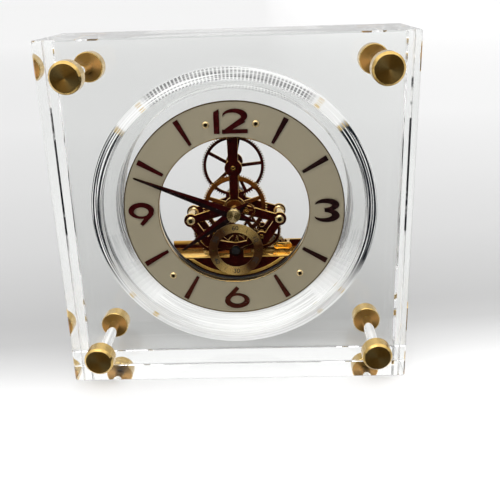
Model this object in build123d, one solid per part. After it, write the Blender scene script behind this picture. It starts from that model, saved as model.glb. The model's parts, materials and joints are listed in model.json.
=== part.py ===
from build123d import *
from math import atan2, cos, hypot, pi, radians, sin, sqrt
import os

# Mystery-style skeleton clock: two clear slabs clamped by four studs, with a
# dial ring and a see-through movement held in a round hollow between them.
# X is right as seen from the front, Y runs to the back, Z is up.
# Y = 0 is the joint between the two slabs; Z = 0 is the surface it stands on.

# Slabs
SLAB_SIZE = 203.2
SLAB_DEPTH = 31.75
SLAB_EDGE_BREAK = 0.8
CENTRE_Z = SLAB_SIZE / 2
SEAT_RADIUS = 84.0
HOLLOW_RADIUS = 77.5
REAR_BORE_RADIUS = 71.0
FRONT_FACE = -SLAB_DEPTH
REAR_FACE = SLAB_DEPTH

# Clamp studs and thumb knobs
STUD_INSET = 18.3
STUD_RADIUS = 3.0
STUD_HOLE_GAP = 0.3
KNOB_RADIUS = 8.75
KNOB_LENGTH = 9.5
KNOB_END_WALL = 2.5
KNOB_CHAMFER = 1.4
KNOB_BACK_CHAMFER = 0.5
KNOB_FACE_GAP = 0.2
THREAD_GAP = 0.05
STUD_REACH = KNOB_LENGTH - KNOB_END_WALL

# Clear disc that carries dial and movement
CARRIER_DEPTH = 6.0
CARRIER_EDGE_GAP = 0.3
CARRIER_FRONT = -CARRIER_DEPTH

# Dial
DIAL_RADIUS = 64.8
DIAL_OPENING = 45.0
DIAL_THICK = 1.2
DIAL_RIM = 0.6
DIAL_RIM_RISE = 0.3
DIAL_FRONT = CARRIER_FRONT - DIAL_THICK
MARK_THICK = 0.9
MARK_FRONT = DIAL_FRONT - MARK_THICK
NUMERAL_RING = 54.9
TWELVE_RING = 53.9
BATON_INNER = 46.9
BATON_OUTER = 63.2
BATON_INNER_WIDTH = 1.8
BATON_OUTER_WIDTH = 3.2
DIAL_SCREW_SPOTS = ((-14.2, 52.1), (14.2, 52.1), (-38.7, -39.6), (38.7, -39.6))
DIAL_SCREW_HEAD = 1.5
DIAL_SCREW_RISE = 0.9
DIAL_SCREW_SHANK = 0.8
SCREW_GAP = 0.05

# Brass ring that holds the movement on the carrier
RING_STEP = 0.2
RING_WALL = 2.5
RING_TUBE_GAP = 0.3
RING_FLANGE = 60.0
RING_FLANGE_DEPTH = 2.5
RING_BORE = DIAL_OPENING + RING_STEP
RING_OUTER = RING_BORE + RING_WALL
CARRIER_HOLE_RADIUS = RING_OUTER + RING_TUBE_GAP
RING_BACK = RING_FLANGE_DEPTH

# Front bridge and rear plate
BRIDGE_THICK = 1.5
BRIDGE_FRONT = RING_BACK
BRIDGE_BACK = BRIDGE_FRONT + BRIDGE_THICK
PLATE_THICK = 1.5
PILLAR_SPOTS = ((-27.0, -8.0), (27.0, -8.0))
PILLAR_RADIUS = 2.5
PILLAR_COLLAR = 3.4
PILLAR_COLLAR_DEPTH = 0.8
PILLAR_EYE = 4.2
PILLAR_SCREW_HEAD = 2.6
PILLAR_SCREW_RISE = 1.1
PILLAR_SCREW_SHANK = 1.0
ARM_WIDTH = 5.0
ARM_ROOT_WIDTH = 6.0
LOWER_KNEES = ((-17.5, -22.5), (17.5, -22.0))
CENTRE_BOSS = 6.4
UPPER_BOSS = 5.2
PIVOT_BOSS = 3.2
POST_BOSS = 2.4
REAR_BAR_OVER = 4.0
REAR_FOOT_HEIGHT = 4.7
SEGMENT_NECK_WIDTH = 9.0
BAR_TOP = 56.0
BAR_TOP_WIDTH = 6.8
BAR_FOOT_WIDTH = 5.0
TRIM_EDGE_GAP = 1.1
TRIM_WIDTH = 1.7
TRIM_RISE = 0.8
TRIM_DROP = 0.5
BRIDGE_SCREW_RING = (RING_BORE + RING_FLANGE) / 2
BRIDGE_SCREW_ANGLES = (90.0, -50.0, -130.0)

# Train: teeth and modules
CENTRE_MODULE = 0.48
CENTRE_TEETH = 80
THIRD_PINION_TEETH = 10
UPPER_PINION_TEETH = 20
THIRD_MODULE = 0.36
THIRD_TEETH = 75
SECONDS_PINION_TEETH = 10
SECONDS_MODULE = 0.3
SECONDS_TEETH = 36
IDLER_TEETH = 35
INTER_PINION_TEETH = 9
INTER_MODULE = 0.32
INTER_TEETH = 75
ROTOR_PINION_TEETH = 10
UPPER_TEETH = 78
CANNON_MODULE = 0.3
CANNON_TEETH = 12
MINUTE_WHEEL_TEETH = 36
HOUR_PINION_TEETH = 10
HOUR_TEETH = 40

# Wheel forms: rim width, hub radius, spoke width, and the number of spokes
CENTRE_FORM = (2.6, 4.4, 2.2)
UPPER_FORM = (1.7, 3.2, 1.9)
THIRD_FORM = (1.6, 2.4, 1.5)
INTER_FORM = (1.5, 2.4, 1.4)
SMALL_FORM = (0.9, 2.0, 1.0)
TRAIN_SPOKES = 5
SMALL_SPOKES = 4
MOTION_SPOKES = 3

# Tooth shape, in modules and in shares of the tooth pitch
ADDENDUM = 0.85
DEDENDUM = 1.25
TIP_SHARE = 0.15
PITCH_SHARE = 0.33
ROOT_SHARE = 0.46


def pitch_radius(teeth, module):
    return teeth * module / 2


def tip_radius(teeth, module):
    return pitch_radius(teeth, module) + ADDENDUM * module


def spread(teeth_a, teeth_b, module):
    return pitch_radius(teeth_a + teeth_b, module)


# Arbor places, right and up from the dial's centre
CENTRE_SPOT = (0.0, 0.0)
UPPER_SPOT = (0.0, spread(CENTRE_TEETH, UPPER_PINION_TEETH, CENTRE_MODULE))
SECONDS_RING_OUTER = 16.6
SECONDS_RING_INNER = 11.2
SECONDS_RING_EDGE_GAP = 2.6
SECONDS_SPOT = (0.0, SECONDS_RING_OUTER + SECONDS_RING_EDGE_GAP - RING_BORE)
THIRD_FROM_CENTRE = spread(CENTRE_TEETH, THIRD_PINION_TEETH, CENTRE_MODULE)
THIRD_FROM_SECONDS = spread(THIRD_TEETH, SECONDS_PINION_TEETH, THIRD_MODULE)
THIRD_UP = (THIRD_FROM_SECONDS**2 - THIRD_FROM_CENTRE**2 - SECONDS_SPOT[1] ** 2) / (-2 * SECONDS_SPOT[1])
THIRD_SPOT = (-sqrt(THIRD_FROM_CENTRE**2 - THIRD_UP**2), THIRD_UP)
INTER_BEARING = 23.5
IDLER_REACH = spread(SECONDS_TEETH, IDLER_TEETH, SECONDS_MODULE)
INTER_REACH = IDLER_REACH + spread(IDLER_TEETH, INTER_PINION_TEETH, SECONDS_MODULE)
IDLER_SPOT = (
    IDLER_REACH * cos(radians(INTER_BEARING)),
    SECONDS_SPOT[1] + IDLER_REACH * sin(radians(INTER_BEARING)),
)
INTER_SPOT = (
    INTER_REACH * cos(radians(INTER_BEARING)),
    SECONDS_SPOT[1] + INTER_REACH * sin(radians(INTER_BEARING)),
)

# Shelf and battery box, just under the lowest wheel of the train
SHELF_GAP = 0.545
SHELF_THICK = 1.5
SHELF_HALF_WIDTH = 41.0
SEGMENT_RADIUS = 56.0
BATTERY_RADIUS = 7.1
BATTERY_LENGTH = 48.4
BATTERY_NUB_RADIUS = 2.6
BATTERY_NUB = 1.1
BATTERY_EDGE = 0.6
BATTERY_GAP = 0.35
BOX_WALL = 1.2
CONTACT_THICK = 0.4
CONTACT_HEIGHT = 9.0
CONTACT_SHORT = 1.5
SECONDS_LOW = SECONDS_SPOT[1] - tip_radius(SECONDS_TEETH, SECONDS_MODULE)
THIRD_LOW = THIRD_SPOT[1] - tip_radius(THIRD_TEETH, THIRD_MODULE)
INTER_LOW = INTER_SPOT[1] - tip_radius(INTER_TEETH, INTER_MODULE)
SHELF_TOP = min(SECONDS_LOW, THIRD_LOW, INTER_LOW) - SHELF_GAP
BATTERY_Z = SHELF_TOP - SHELF_THICK - BATTERY_GAP - BATTERY_RADIUS
BATTERY_Y = BRIDGE_BACK + BOX_WALL + BATTERY_GAP + BATTERY_RADIUS
BOX_BACK = BATTERY_Y + BATTERY_RADIUS
CONTACT_IN = BATTERY_LENGTH / 2 + BATTERY_NUB + BATTERY_GAP
BOX_INNER = CONTACT_IN + CONTACT_THICK

# Rotor and motion work places
ROTOR_REACH = spread(INTER_TEETH, ROTOR_PINION_TEETH, INTER_MODULE)
ROTOR_RISE = 3.5
ROTOR_DROP = INTER_SPOT[1] - SHELF_TOP - ROTOR_RISE
ROTOR_SPOT = (INTER_SPOT[0] + sqrt(ROTOR_REACH**2 - ROTOR_DROP**2), SHELF_TOP + ROTOR_RISE)
MOTION_REACH = spread(CANNON_TEETH, MINUTE_WHEEL_TEETH, CANNON_MODULE)
MOTION_BEARING = atan2(PILLAR_SPOTS[1][1], PILLAR_SPOTS[1][0])
MOTION_SPOT = (MOTION_REACH * cos(MOTION_BEARING), MOTION_REACH * sin(MOTION_BEARING))
HOUR_MODULE = 2 * MOTION_REACH / (HOUR_PINION_TEETH + HOUR_TEETH)

# Arbors, shafts and running fits
ARBOR_RADIUS = 0.75
PIVOT_RADIUS = 0.6
PIVOT_GAP = 0.05
BUSH_RADIUS = 1.5
BUSH_RISE = 0.25
SHAFT_RADIUS = 1.3
SLEEVE_GAP = 0.05
SLEEVE_WALL = 1.05
SLEEVE_OVER = 1.2
PIPE_WALL = 0.95
PIPE_OVER = 0.2
PLATE_END_GAP = 0.3
SLEEVE_BORE = SHAFT_RADIUS + SLEEVE_GAP
SLEEVE_RADIUS = SLEEVE_BORE + SLEEVE_WALL
HOUR_PIPE_RADIUS = SLEEVE_BORE + PIPE_WALL
PIVOT_HOLE = PIVOT_RADIUS + PIVOT_GAP
STUD_COLLAR = 1.3
STUD_HEAD = 1.1
STUD_HEAD_DEPTH = 0.5
STUD_GAP = 0.3
IDLER_BOSS = 1.8
IDLER_BOSS_DEPTH = 1.0

# Depths of the motion work, which runs in front of the bridge
MOTION_WHEEL_THICK = 0.8
MOTION_BRIDGE_GAP = 0.9
HOUR_WHEEL_GAP = 1.1
MOTION_OVER = 0.4
MINUTE_WHEEL_Y = (BRIDGE_FRONT - MOTION_BRIDGE_GAP - MOTION_WHEEL_THICK, BRIDGE_FRONT - MOTION_BRIDGE_GAP)
HOUR_WHEEL_BACK = MINUTE_WHEEL_Y[0] - HOUR_WHEEL_GAP
HOUR_WHEEL_Y = (HOUR_WHEEL_BACK - MOTION_WHEEL_THICK, HOUR_WHEEL_BACK)
HOUR_PINION_Y = (HOUR_WHEEL_Y[0] - MOTION_OVER, MINUTE_WHEEL_Y[0])
CANNON_Y = (MINUTE_WHEEL_Y[0] - MOTION_OVER, MINUTE_WHEEL_Y[1] + MOTION_OVER)

# Depths of the train, in four rows from the bridge to the rear plate
ROW_START = 1.0
ROW_PITCH = 3.0
WHEEL_THICK = 1.0
CENTRE_WHEEL_THICK = 1.2
PINION_OVER = 0.4
MAGNET_GAP = 0.7
MAGNET_DEPTH = 2.5
MAGNET_RADIUS = 2.3
MAGNET_PLATE_GAP = 1.4
STATOR_INSET = 0.3
STATOR_GAP = 0.5
STATOR_EYE_WALL = 2.2
COCK_THICK = 1.0
COCK_GAP = 0.7


def row(number, over=0.0, thick=WHEEL_THICK):
    front = BRIDGE_BACK + ROW_START + ROW_PITCH * number
    return (front - over, front + thick + over)


CENTRE_WHEEL_Y = row(0, thick=CENTRE_WHEEL_THICK)
CENTRE_PINION_Y = row(0, PINION_OVER, CENTRE_WHEEL_THICK)
SECOND_ROW_Y = row(1)
SECOND_PINION_Y = row(1, PINION_OVER)
THIRD_ROW_Y = row(2)
THIRD_ROW_PINION_Y = row(2, PINION_OVER)
FOURTH_ROW_Y = row(3)
FOURTH_PINION_Y = row(3, PINION_OVER)
MAGNET_FRONT = FOURTH_PINION_Y[1] + MAGNET_GAP
MAGNET_Y = (MAGNET_FRONT, MAGNET_FRONT + MAGNET_DEPTH)
STATOR_Y = (MAGNET_Y[0] + STATOR_INSET, MAGNET_Y[1] - STATOR_INSET)
COCK_BACK = FOURTH_PINION_Y[0] - COCK_GAP
COCK_Y = (COCK_BACK - COCK_THICK, COCK_BACK)
PLATE_FRONT = MAGNET_Y[1] + MAGNET_PLATE_GAP
PLATE_BACK = PLATE_FRONT + PLATE_THICK
ARBOR_FRONT = BRIDGE_BACK + PLATE_END_GAP
ARBOR_BACK = PLATE_FRONT - PLATE_END_GAP

# Drive: rotor cock, stator, coil and circuit board
COCK_WIDTH = 4.0
COCK_EYE = 2.2
COCK_POST = 1.6
COCK_REACH = 7.0
STATOR_RISE = 0.9
STATOR_HEIGHT = 2.6
STATOR_LEFT = -22.0
STATOR_FOOT = 1.0
STATOR_LEFT_FOOT = -20.4
COIL_RADIUS = 1.9
COIL_SPAN = (-17.0, 9.0)
BOARD_WIDTH = 46.0
BOARD_HEIGHT = 10.2
BOARD_TAB_WIDTH = 20.0
BOARD_TAB_HEIGHT = 1.5
BOARD_THICK = 1.0
BOARD_GAP = 0.6
BOARD_FOOT = 1.2
BOARD_FOOT_X = 17.0
BOARD_FOOT_RISE = 2.2
ARBOR_CUT = 2.2

# Hands: the pose shown is about 7:49 and 11 seconds
MINUTE_ANGLE = 292.0
HOUR_ANGLE = 234.3
SECONDS_ANGLE = 66.0
HAND_THICK = 0.8
HAND_DIAL_GAP = 1.0
HANDS_APART = 1.4
CAP_DEPTH = 2.9
CAP_RADIUS = 4.0
CAP_EDGE = 0.3
CAP_WALL = 1.0
WINDOW_GAP = 1.0
HOUR_HAND_BACK = MARK_FRONT - HAND_DIAL_GAP
HOUR_HAND_Y = (HOUR_HAND_BACK - HAND_THICK, HOUR_HAND_BACK)
MINUTE_HAND_BACK = HOUR_HAND_Y[0] - HANDS_APART
MINUTE_HAND_Y = (MINUTE_HAND_BACK - HAND_THICK, MINUTE_HAND_BACK)
CAP_Y = (MINUTE_HAND_Y[0] - CAP_DEPTH, MINUTE_HAND_Y[0])
WINDOW_BACK = CAP_Y[0] - WINDOW_GAP
MINUTE_HAND_LENGTH = 62.0
MINUTE_HAND_TAIL = 15.0
MINUTE_HAND_WIDTH = 6.0
HOUR_HAND_LENGTH = 39.0
HOUR_HAND_TAIL = 12.6
HOUR_HAND_WIDTH = 6.6
MINUTE_HUB_WALL = 1.85
HOUR_HUB_WALL = 1.25
SECONDS_HAND_LENGTH = 13.0
SECONDS_HAND_TAIL = 4.5
SECONDS_HAND_WIDTH = 1.2
SECONDS_COLLAR = 0.5
SECONDS_HUB = 2.9
SECONDS_HUB_DEPTH = 2.6
SECONDS_HUB_ROUND = 1.2
SECONDS_HUB_WALL = 0.8
SECONDS_HAND_THICK = 0.6
SECONDS_HAND_INSET = 0.8

# Seconds ring
SECONDS_RING_STAND = 3.3
SECONDS_RING_THICK = 0.8
SECONDS_HUB_GAP = 0.4
SECONDS_POST = 1.2
SECONDS_POST_RISE = 0.3
SECONDS_RING_BACK = BRIDGE_FRONT - SECONDS_RING_STAND
SECONDS_RING_Y = (SECONDS_RING_BACK - SECONDS_RING_THICK, SECONDS_RING_BACK)
SECONDS_POST_X = (SECONDS_RING_OUTER + SECONDS_RING_INNER) / 2
SECONDS_HUB_BACK = SECONDS_RING_Y[0] - SECONDS_HUB_GAP
SECONDS_HUB_Y = (SECONDS_HUB_BACK - SECONDS_HUB_DEPTH, SECONDS_HUB_BACK)
SECONDS_HAND_BACK = SECONDS_HUB_BACK - SECONDS_HAND_INSET
SECONDS_HAND_Y = (SECONDS_HAND_BACK - SECONDS_HAND_THICK, SECONDS_HAND_BACK)

# Setting knob at the back
SETTING_RADIUS = 6.5
SETTING_GAP = 1.0
SETTING_DEPTH = 6.0
SETTING_WALL = 1.5
SETTING_FLUTES = 18
SETTING_FLUTE_RADIUS = 0.5
SETTING_Y = (PLATE_BACK + SETTING_GAP, PLATE_BACK + SETTING_GAP + SETTING_DEPTH)


def on_face(y):
    return Plane((0, y, CENTRE_Z), x_dir=(1, 0, 0), z_dir=(0, -1, 0))


def plate(sketch, front, back):
    return extrude(on_face(back) * sketch, amount=back - front)


def at(spot):
    return Pos(spot[0], spot[1])


def bar(radius, front, back, spot=CENTRE_SPOT):
    return plate(at(spot) * Circle(radius), front, back)


def tube(outer, inner, front, back, spot=CENTRE_SPOT):
    return plate(at(spot) * (Circle(outer) - Circle(inner)), front, back)


def strut(start, end, start_width, end_width):
    dx = end[0] - start[0]
    dz = end[1] - start[1]
    length = hypot(dx, dz)
    side = (-dz / length / 2, dx / length / 2)
    return Polygon(
        (start[0] + side[0] * start_width, start[1] + side[1] * start_width),
        (start[0] - side[0] * start_width, start[1] - side[1] * start_width),
        (end[0] - side[0] * end_width, end[1] - side[1] * end_width),
        (end[0] + side[0] * end_width, end[1] + side[1] * end_width),
        align=None,
    )


def polar(radius, angle):
    return (radius * cos(angle), radius * sin(angle))


def gear_outline(teeth, module, phase):
    pitch = 2 * pi / teeth
    middle = pitch_radius(teeth, module)
    steps = (
        (middle - DEDENDUM * module, -ROOT_SHARE / 2),
        (middle, -PITCH_SHARE / 2),
        (middle + ADDENDUM * module, -TIP_SHARE / 2),
        (middle + ADDENDUM * module, TIP_SHARE / 2),
        (middle, PITCH_SHARE / 2),
        (middle - DEDENDUM * module, ROOT_SHARE / 2),
    )
    points = []
    for tooth in range(teeth):
        for radius, share in steps:
            points.append(polar(radius, phase + (tooth + share) * pitch))
    return Polygon(*points, align=None)


def meshing_phase(spot, teeth, phase, other_spot, other_teeth):
    line = atan2(other_spot[1] - spot[1], other_spot[0] - spot[0])
    return line + pi - teeth / other_teeth * (phase - line) - pi / other_teeth


def spoked_wheel(teeth, module, form, spokes, phase=0.0, turn=0.0):
    rim, hub, spoke_width = form
    inner = pitch_radius(teeth, module) - DEDENDUM * module - rim
    wheel = gear_outline(teeth, module, phase) - Circle(inner)
    wheel += Circle(hub)
    for spoke in range(spokes):
        angle = radians(turn) + 2 * pi * spoke / spokes
        wheel += strut(CENTRE_SPOT, polar(inner + rim / 2, angle), spoke_width, spoke_width)
    return wheel


def placed(sketch, spot, depths):
    return plate(at(spot) * sketch, depths[0], depths[1])


def arbor(spot, front, back):
    shaft = bar(ARBOR_RADIUS, front, back, spot)
    shaft += bar(PIVOT_RADIUS, BRIDGE_FRONT - BUSH_RISE, front, spot)
    shaft += bar(PIVOT_RADIUS, back, PLATE_BACK + BUSH_RISE, spot)
    return shaft


def above(level):
    return Pos(0, level + SLAB_SIZE / 2) * Rectangle(SLAB_SIZE, SLAB_SIZE)


def block(left, right, bottom, top):
    return Pos((left + right) / 2, (bottom + top) / 2) * Rectangle(right - left, top - bottom)


nodes = {}

# Slabs
half = SLAB_SIZE / 2
STUD_SPOTS = [(sx * (half - STUD_INSET), sz * (half - STUD_INSET)) for sx in (-1, 1) for sz in (1, -1)]
stud_holes = Sketch() + [at(spot) * Circle(STUD_RADIUS + STUD_HOLE_GAP) for spot in STUD_SPOTS]
outline = Rectangle(SLAB_SIZE, SLAB_SIZE)
front_slab = plate(outline, FRONT_FACE, 0)
front_slab = chamfer(front_slab.faces().sort_by(Axis.Y)[0].edges(), SLAB_EDGE_BREAK)
front_slab -= plate(stud_holes, FRONT_FACE, 0)
front_slab -= bar(SEAT_RADIUS, CARRIER_FRONT, 0)
front_slab -= bar(HOLLOW_RADIUS, WINDOW_BACK, CARRIER_FRONT)
nodes["front_slab"] = front_slab

rear_slab = plate(outline, 0, REAR_FACE)
rear_slab = chamfer(rear_slab.faces().sort_by(Axis.Y)[-1].edges(), SLAB_EDGE_BREAK)
rear_slab -= plate(stud_holes, 0, REAR_FACE)
rear_slab -= bar(REAR_BORE_RADIUS, 0, REAR_FACE)
nodes["rear_slab"] = rear_slab


# Thumb knobs and studs
def thumb_knob(spot, inner, outer):
    first, last = (0, -1) if outer < inner else (-1, 0)
    knob = bar(KNOB_RADIUS, min(inner, outer), max(inner, outer), spot)
    outer_rim = knob.edges().filter_by(GeomType.CIRCLE).sort_by(Axis.Y)[first]
    knob = chamfer(outer_rim, KNOB_CHAMFER)
    inner_rim = knob.edges().filter_by(GeomType.CIRCLE).sort_by(Axis.Y)[last]
    return chamfer(inner_rim, KNOB_BACK_CHAMFER)


knob_inner = FRONT_FACE - KNOB_FACE_GAP
knob_hole = knob_inner - STUD_REACH - THREAD_GAP
for number, spot in enumerate(STUD_SPOTS, start=1):
    knob = thumb_knob(spot, knob_inner, knob_inner - KNOB_LENGTH)
    knob -= bar(STUD_RADIUS + THREAD_GAP, knob_hole, knob_inner, spot)
    nodes[f"front_knob_{number}"] = knob

rear_inner = REAR_FACE
rear_knobs = Part()
studs = Part()
for spot in STUD_SPOTS:
    knob = thumb_knob(spot, rear_inner, rear_inner + KNOB_LENGTH + KNOB_FACE_GAP)
    knob -= bar(STUD_RADIUS + THREAD_GAP, rear_inner, rear_inner + STUD_REACH, spot)
    rear_knobs += knob
    studs += bar(STUD_RADIUS, knob_inner - STUD_REACH, rear_inner + STUD_REACH, spot)
nodes["rear_knobs"] = rear_knobs
nodes["clamp_studs"] = studs

# Carrier disc, dial ring and its rims
screw_holes = Sketch() + [at(spot) * Circle(DIAL_SCREW_SHANK + SCREW_GAP) for spot in DIAL_SCREW_SPOTS]
carrier = Circle(SEAT_RADIUS - CARRIER_EDGE_GAP) - Circle(CARRIER_HOLE_RADIUS) - screw_holes
nodes["carrier_disc"] = plate(carrier, CARRIER_FRONT, 0)
dial = Circle(DIAL_RADIUS) - Circle(DIAL_OPENING) - screw_holes
nodes["dial_plate"] = plate(dial, DIAL_FRONT, CARRIER_FRONT)
rim_front = DIAL_FRONT - DIAL_RIM_RISE
dial_rims = tube(DIAL_RADIUS + DIAL_RIM, DIAL_RADIUS, rim_front, CARRIER_FRONT)
dial_rims += tube(DIAL_OPENING, DIAL_OPENING - DIAL_RIM, rim_front, CARRIER_FRONT)
nodes["dial_rims"] = dial_rims


# Applied numerals, drawn about their own middle
def bowl(outer, inner, shift):
    return Ellipse(*outer) - Pos(*shift) * Ellipse(*inner)


def figure_nine():
    ring = Pos(0, 2.3) * bowl((7.6, 4.9), (4.4, 2.9), (0, -0.7))
    return ring + strut((6.2, 1.0), (-0.5, -6.5), 3.0, 2.3)


def figure_three():
    upper = Pos(0, 3.4) * bowl((7.1, 3.75), (5.25, 1.7), (-2.4, -0.45))
    lower = Pos(0, -3.2) * bowl((7.4, 3.95), (5.25, 2.05), (-2.4, 0.3))
    gap = Polygon((-9, 3.9), (-5.3, 2.8), (-1.5, 1.2), (-1.5, -0.85), (-5.3, -3.0), (-9, -4.9), align=None)
    return upper + lower - gap


def figure_two():
    arch = Pos(0.4, 2.9) * bowl((7.1, 4.1), (5.4, 2.8), (-1.8, -0.85))
    arch -= Polygon((-9, 2.6), (-1.4, 2.0), (4.6, -0.2), (4.6, -3), (-9, -3), align=None)
    slope = strut((5.4, 0.8), (-4.9, -5.4), 3.5, 2.3)
    return arch + slope + Pos(0.2, -5.85) * Rectangle(14.6, 2.3)


def figure_one():
    return Polygon((-1.6, -7.0), (1.6, -7.0), (1.6, 7.0), (-1.6, 5.3), align=None)


numerals = Pos(0, TWELVE_RING) * (Pos(-8.0, 0) * figure_one() + Pos(2.1, 0) * figure_two())
numerals += Pos(NUMERAL_RING, 0) * figure_three()
numerals += Pos(0, -NUMERAL_RING) * (Rot(0, 0, 180) * figure_nine())
numerals += Pos(-NUMERAL_RING, 0) * figure_nine()
nodes["numerals"] = plate(numerals, MARK_FRONT, DIAL_FRONT)
batons = Sketch()
for hour in range(12):
    if hour % 3:
        angle = radians(90 - 30 * hour)
        ends = (polar(BATON_INNER, angle), polar(BATON_OUTER, angle))
        batons += strut(ends[0], ends[1], BATON_INNER_WIDTH, BATON_OUTER_WIDTH)
nodes["hour_batons"] = plate(batons, MARK_FRONT, DIAL_FRONT)

# Ring that carries the movement behind the dial
ring = tube(RING_OUTER, RING_BORE, CARRIER_FRONT, RING_BACK)
ring += tube(RING_FLANGE, RING_BORE, 0, RING_BACK)
ring -= plate(screw_holes, 0, RING_BACK)
bridge_screw_spots = [polar(BRIDGE_SCREW_RING, radians(angle)) for angle in BRIDGE_SCREW_ANGLES]
bridge_holes = Sketch() + [at(spot) * Circle(DIAL_SCREW_SHANK + SCREW_GAP) for spot in bridge_screw_spots]
ring -= plate(bridge_holes, 0, RING_BACK)
nodes["movement_ring"] = ring

dial_screws = Part()
for spot in DIAL_SCREW_SPOTS:
    dial_screws += bar(DIAL_SCREW_HEAD, DIAL_FRONT - DIAL_SCREW_RISE, DIAL_FRONT, spot)
    dial_screws += bar(DIAL_SCREW_SHANK, DIAL_FRONT, RING_BACK, spot)
nodes["dial_screws"] = dial_screws


# Front bridge: bar, arms to the pillars, lower arms and the bottom segment
def frame_outline(top, top_width):
    shape = strut((0, 0), (0, top), BAR_FOOT_WIDTH, top_width)
    shape += Circle(CENTRE_BOSS)
    shape += at(UPPER_SPOT) * Circle(UPPER_BOSS)
    for eye, knee in zip(PILLAR_SPOTS, LOWER_KNEES):
        shape += strut(CENTRE_SPOT, eye, ARM_ROOT_WIDTH, ARM_WIDTH)
        shape += at(eye) * Circle(PILLAR_EYE)
        shape += strut(eye, knee, ARM_WIDTH, ARM_WIDTH)
        shape += at(knee) * Circle(ARM_WIDTH / 2)
        shape += strut(knee, SECONDS_SPOT, ARM_WIDTH, ARM_ROOT_WIDTH)
    for knee, pivot in zip(LOWER_KNEES, (THIRD_SPOT, INTER_SPOT)):
        shape += strut(knee, pivot, ARM_WIDTH, ARM_WIDTH)
    for spot in (THIRD_SPOT, INTER_SPOT, IDLER_SPOT, SECONDS_SPOT):
        shape += at(spot) * Circle(PIVOT_BOSS)
    return shape


segment = Circle(SEGMENT_RADIUS) - above(SHELF_TOP)
pivot_spots = (UPPER_SPOT, THIRD_SPOT, INTER_SPOT, SECONDS_SPOT)
pivot_holes = Sketch() + [at(spot) * Circle(PIVOT_HOLE) for spot in pivot_spots]
pillar_holes = Sketch() + [at(spot) * Circle(PILLAR_SCREW_SHANK + SCREW_GAP) for spot in PILLAR_SPOTS]
shaft_hole = Circle(SLEEVE_BORE)
post_spots = [(side * SECONDS_POST_X, SECONDS_SPOT[1]) for side in (-1, 1)]
bridge = frame_outline(BAR_TOP, BAR_TOP_WIDTH) + segment
for spot in post_spots:
    bridge += at(spot) * Circle(POST_BOSS)
neck_side = SEGMENT_NECK_WIDTH / 2
bridge += block(-neck_side, neck_side, SHELF_TOP - BRIDGE_THICK, SECONDS_SPOT[1])
bridge -= pivot_holes
bridge -= pillar_holes
bridge -= bridge_holes
bridge -= shaft_hole
nodes["front_bridge"] = plate(bridge, BRIDGE_FRONT, BRIDGE_BACK)

# Bright strip along the lower edge of the segment
trim_outer = RING_BORE - TRIM_EDGE_GAP
trim = Circle(trim_outer) - Circle(trim_outer - TRIM_WIDTH) - above(SHELF_TOP - TRIM_DROP)
nodes["segment_trim"] = plate(trim, BRIDGE_FRONT - TRIM_RISE, BRIDGE_FRONT)

bridge_screws = Part()
for spot in bridge_screw_spots:
    bridge_screws += bar(DIAL_SCREW_HEAD, BRIDGE_BACK, BRIDGE_BACK + DIAL_SCREW_RISE, spot)
    bridge_screws += bar(DIAL_SCREW_SHANK, 0, BRIDGE_BACK, spot)
nodes["bridge_screws"] = bridge_screws

# Rear plate with its foot down to the shelf
rear = frame_outline(UPPER_SPOT[1] + REAR_BAR_OVER, BAR_FOOT_WIDTH)
rear += block(-SHELF_HALF_WIDTH, SHELF_HALF_WIDTH, SHELF_TOP, SHELF_TOP + REAR_FOOT_HEIGHT)
rear += at(ROTOR_SPOT) * Circle(PILLAR_EYE)
rear -= pivot_holes
rear -= at(ROTOR_SPOT) * Circle(PIVOT_HOLE)
rear -= pillar_holes
rear -= shaft_hole
nodes["rear_plate"] = plate(rear & above(SHELF_TOP), PLATE_FRONT, PLATE_BACK)

# Pillars and their screws
pillars = Part()
pillar_screws = Part()
for spot in PILLAR_SPOTS:
    pillar = bar(PILLAR_RADIUS, BRIDGE_BACK, PLATE_FRONT, spot)
    pillar += bar(PILLAR_COLLAR, BRIDGE_BACK, BRIDGE_BACK + PILLAR_COLLAR_DEPTH, spot)
    pillar += bar(PILLAR_COLLAR, PLATE_FRONT - PILLAR_COLLAR_DEPTH, PLATE_FRONT, spot)
    pillar -= bar(PILLAR_SCREW_SHANK + SCREW_GAP, BRIDGE_BACK, PLATE_FRONT, spot)
    pillars += pillar
    pillar_screws += bar(PILLAR_SCREW_HEAD, BRIDGE_FRONT - PILLAR_SCREW_RISE, BRIDGE_FRONT, spot)
    pillar_screws += bar(PILLAR_SCREW_HEAD, PLATE_BACK, PLATE_BACK + PILLAR_SCREW_RISE, spot)
    pillar_screws += bar(PILLAR_SCREW_SHANK, BRIDGE_FRONT, PLATE_BACK, spot)
nodes["pillars"] = pillars
nodes["pillar_screws"] = pillar_screws

# Bushes round the pivots on the outer faces of bridge and plate
bushes = Part()
for spot in pivot_spots:
    bushes += tube(BUSH_RADIUS, PIVOT_HOLE, PLATE_BACK, PLATE_BACK + BUSH_RISE, spot)
    bushes += tube(BUSH_RADIUS, PIVOT_HOLE, BRIDGE_FRONT - BUSH_RISE, BRIDGE_FRONT, spot)
nodes["bushes"] = bushes

# Seconds ring on two posts
seconds_ring = tube(SECONDS_RING_OUTER, SECONDS_RING_INNER, *SECONDS_RING_Y, SECONDS_SPOT)
posts = Part()
for spot in post_spots:
    seconds_ring -= bar(DIAL_SCREW_SHANK + SCREW_GAP, *SECONDS_RING_Y, spot)
    posts += bar(SECONDS_POST, SECONDS_RING_Y[1], BRIDGE_FRONT, spot)
    posts += bar(DIAL_SCREW_SHANK, SECONDS_RING_Y[0] - SECONDS_POST_RISE, SECONDS_RING_Y[1], spot)
nodes["seconds_ring"] = seconds_ring
nodes["seconds_posts"] = posts

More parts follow.
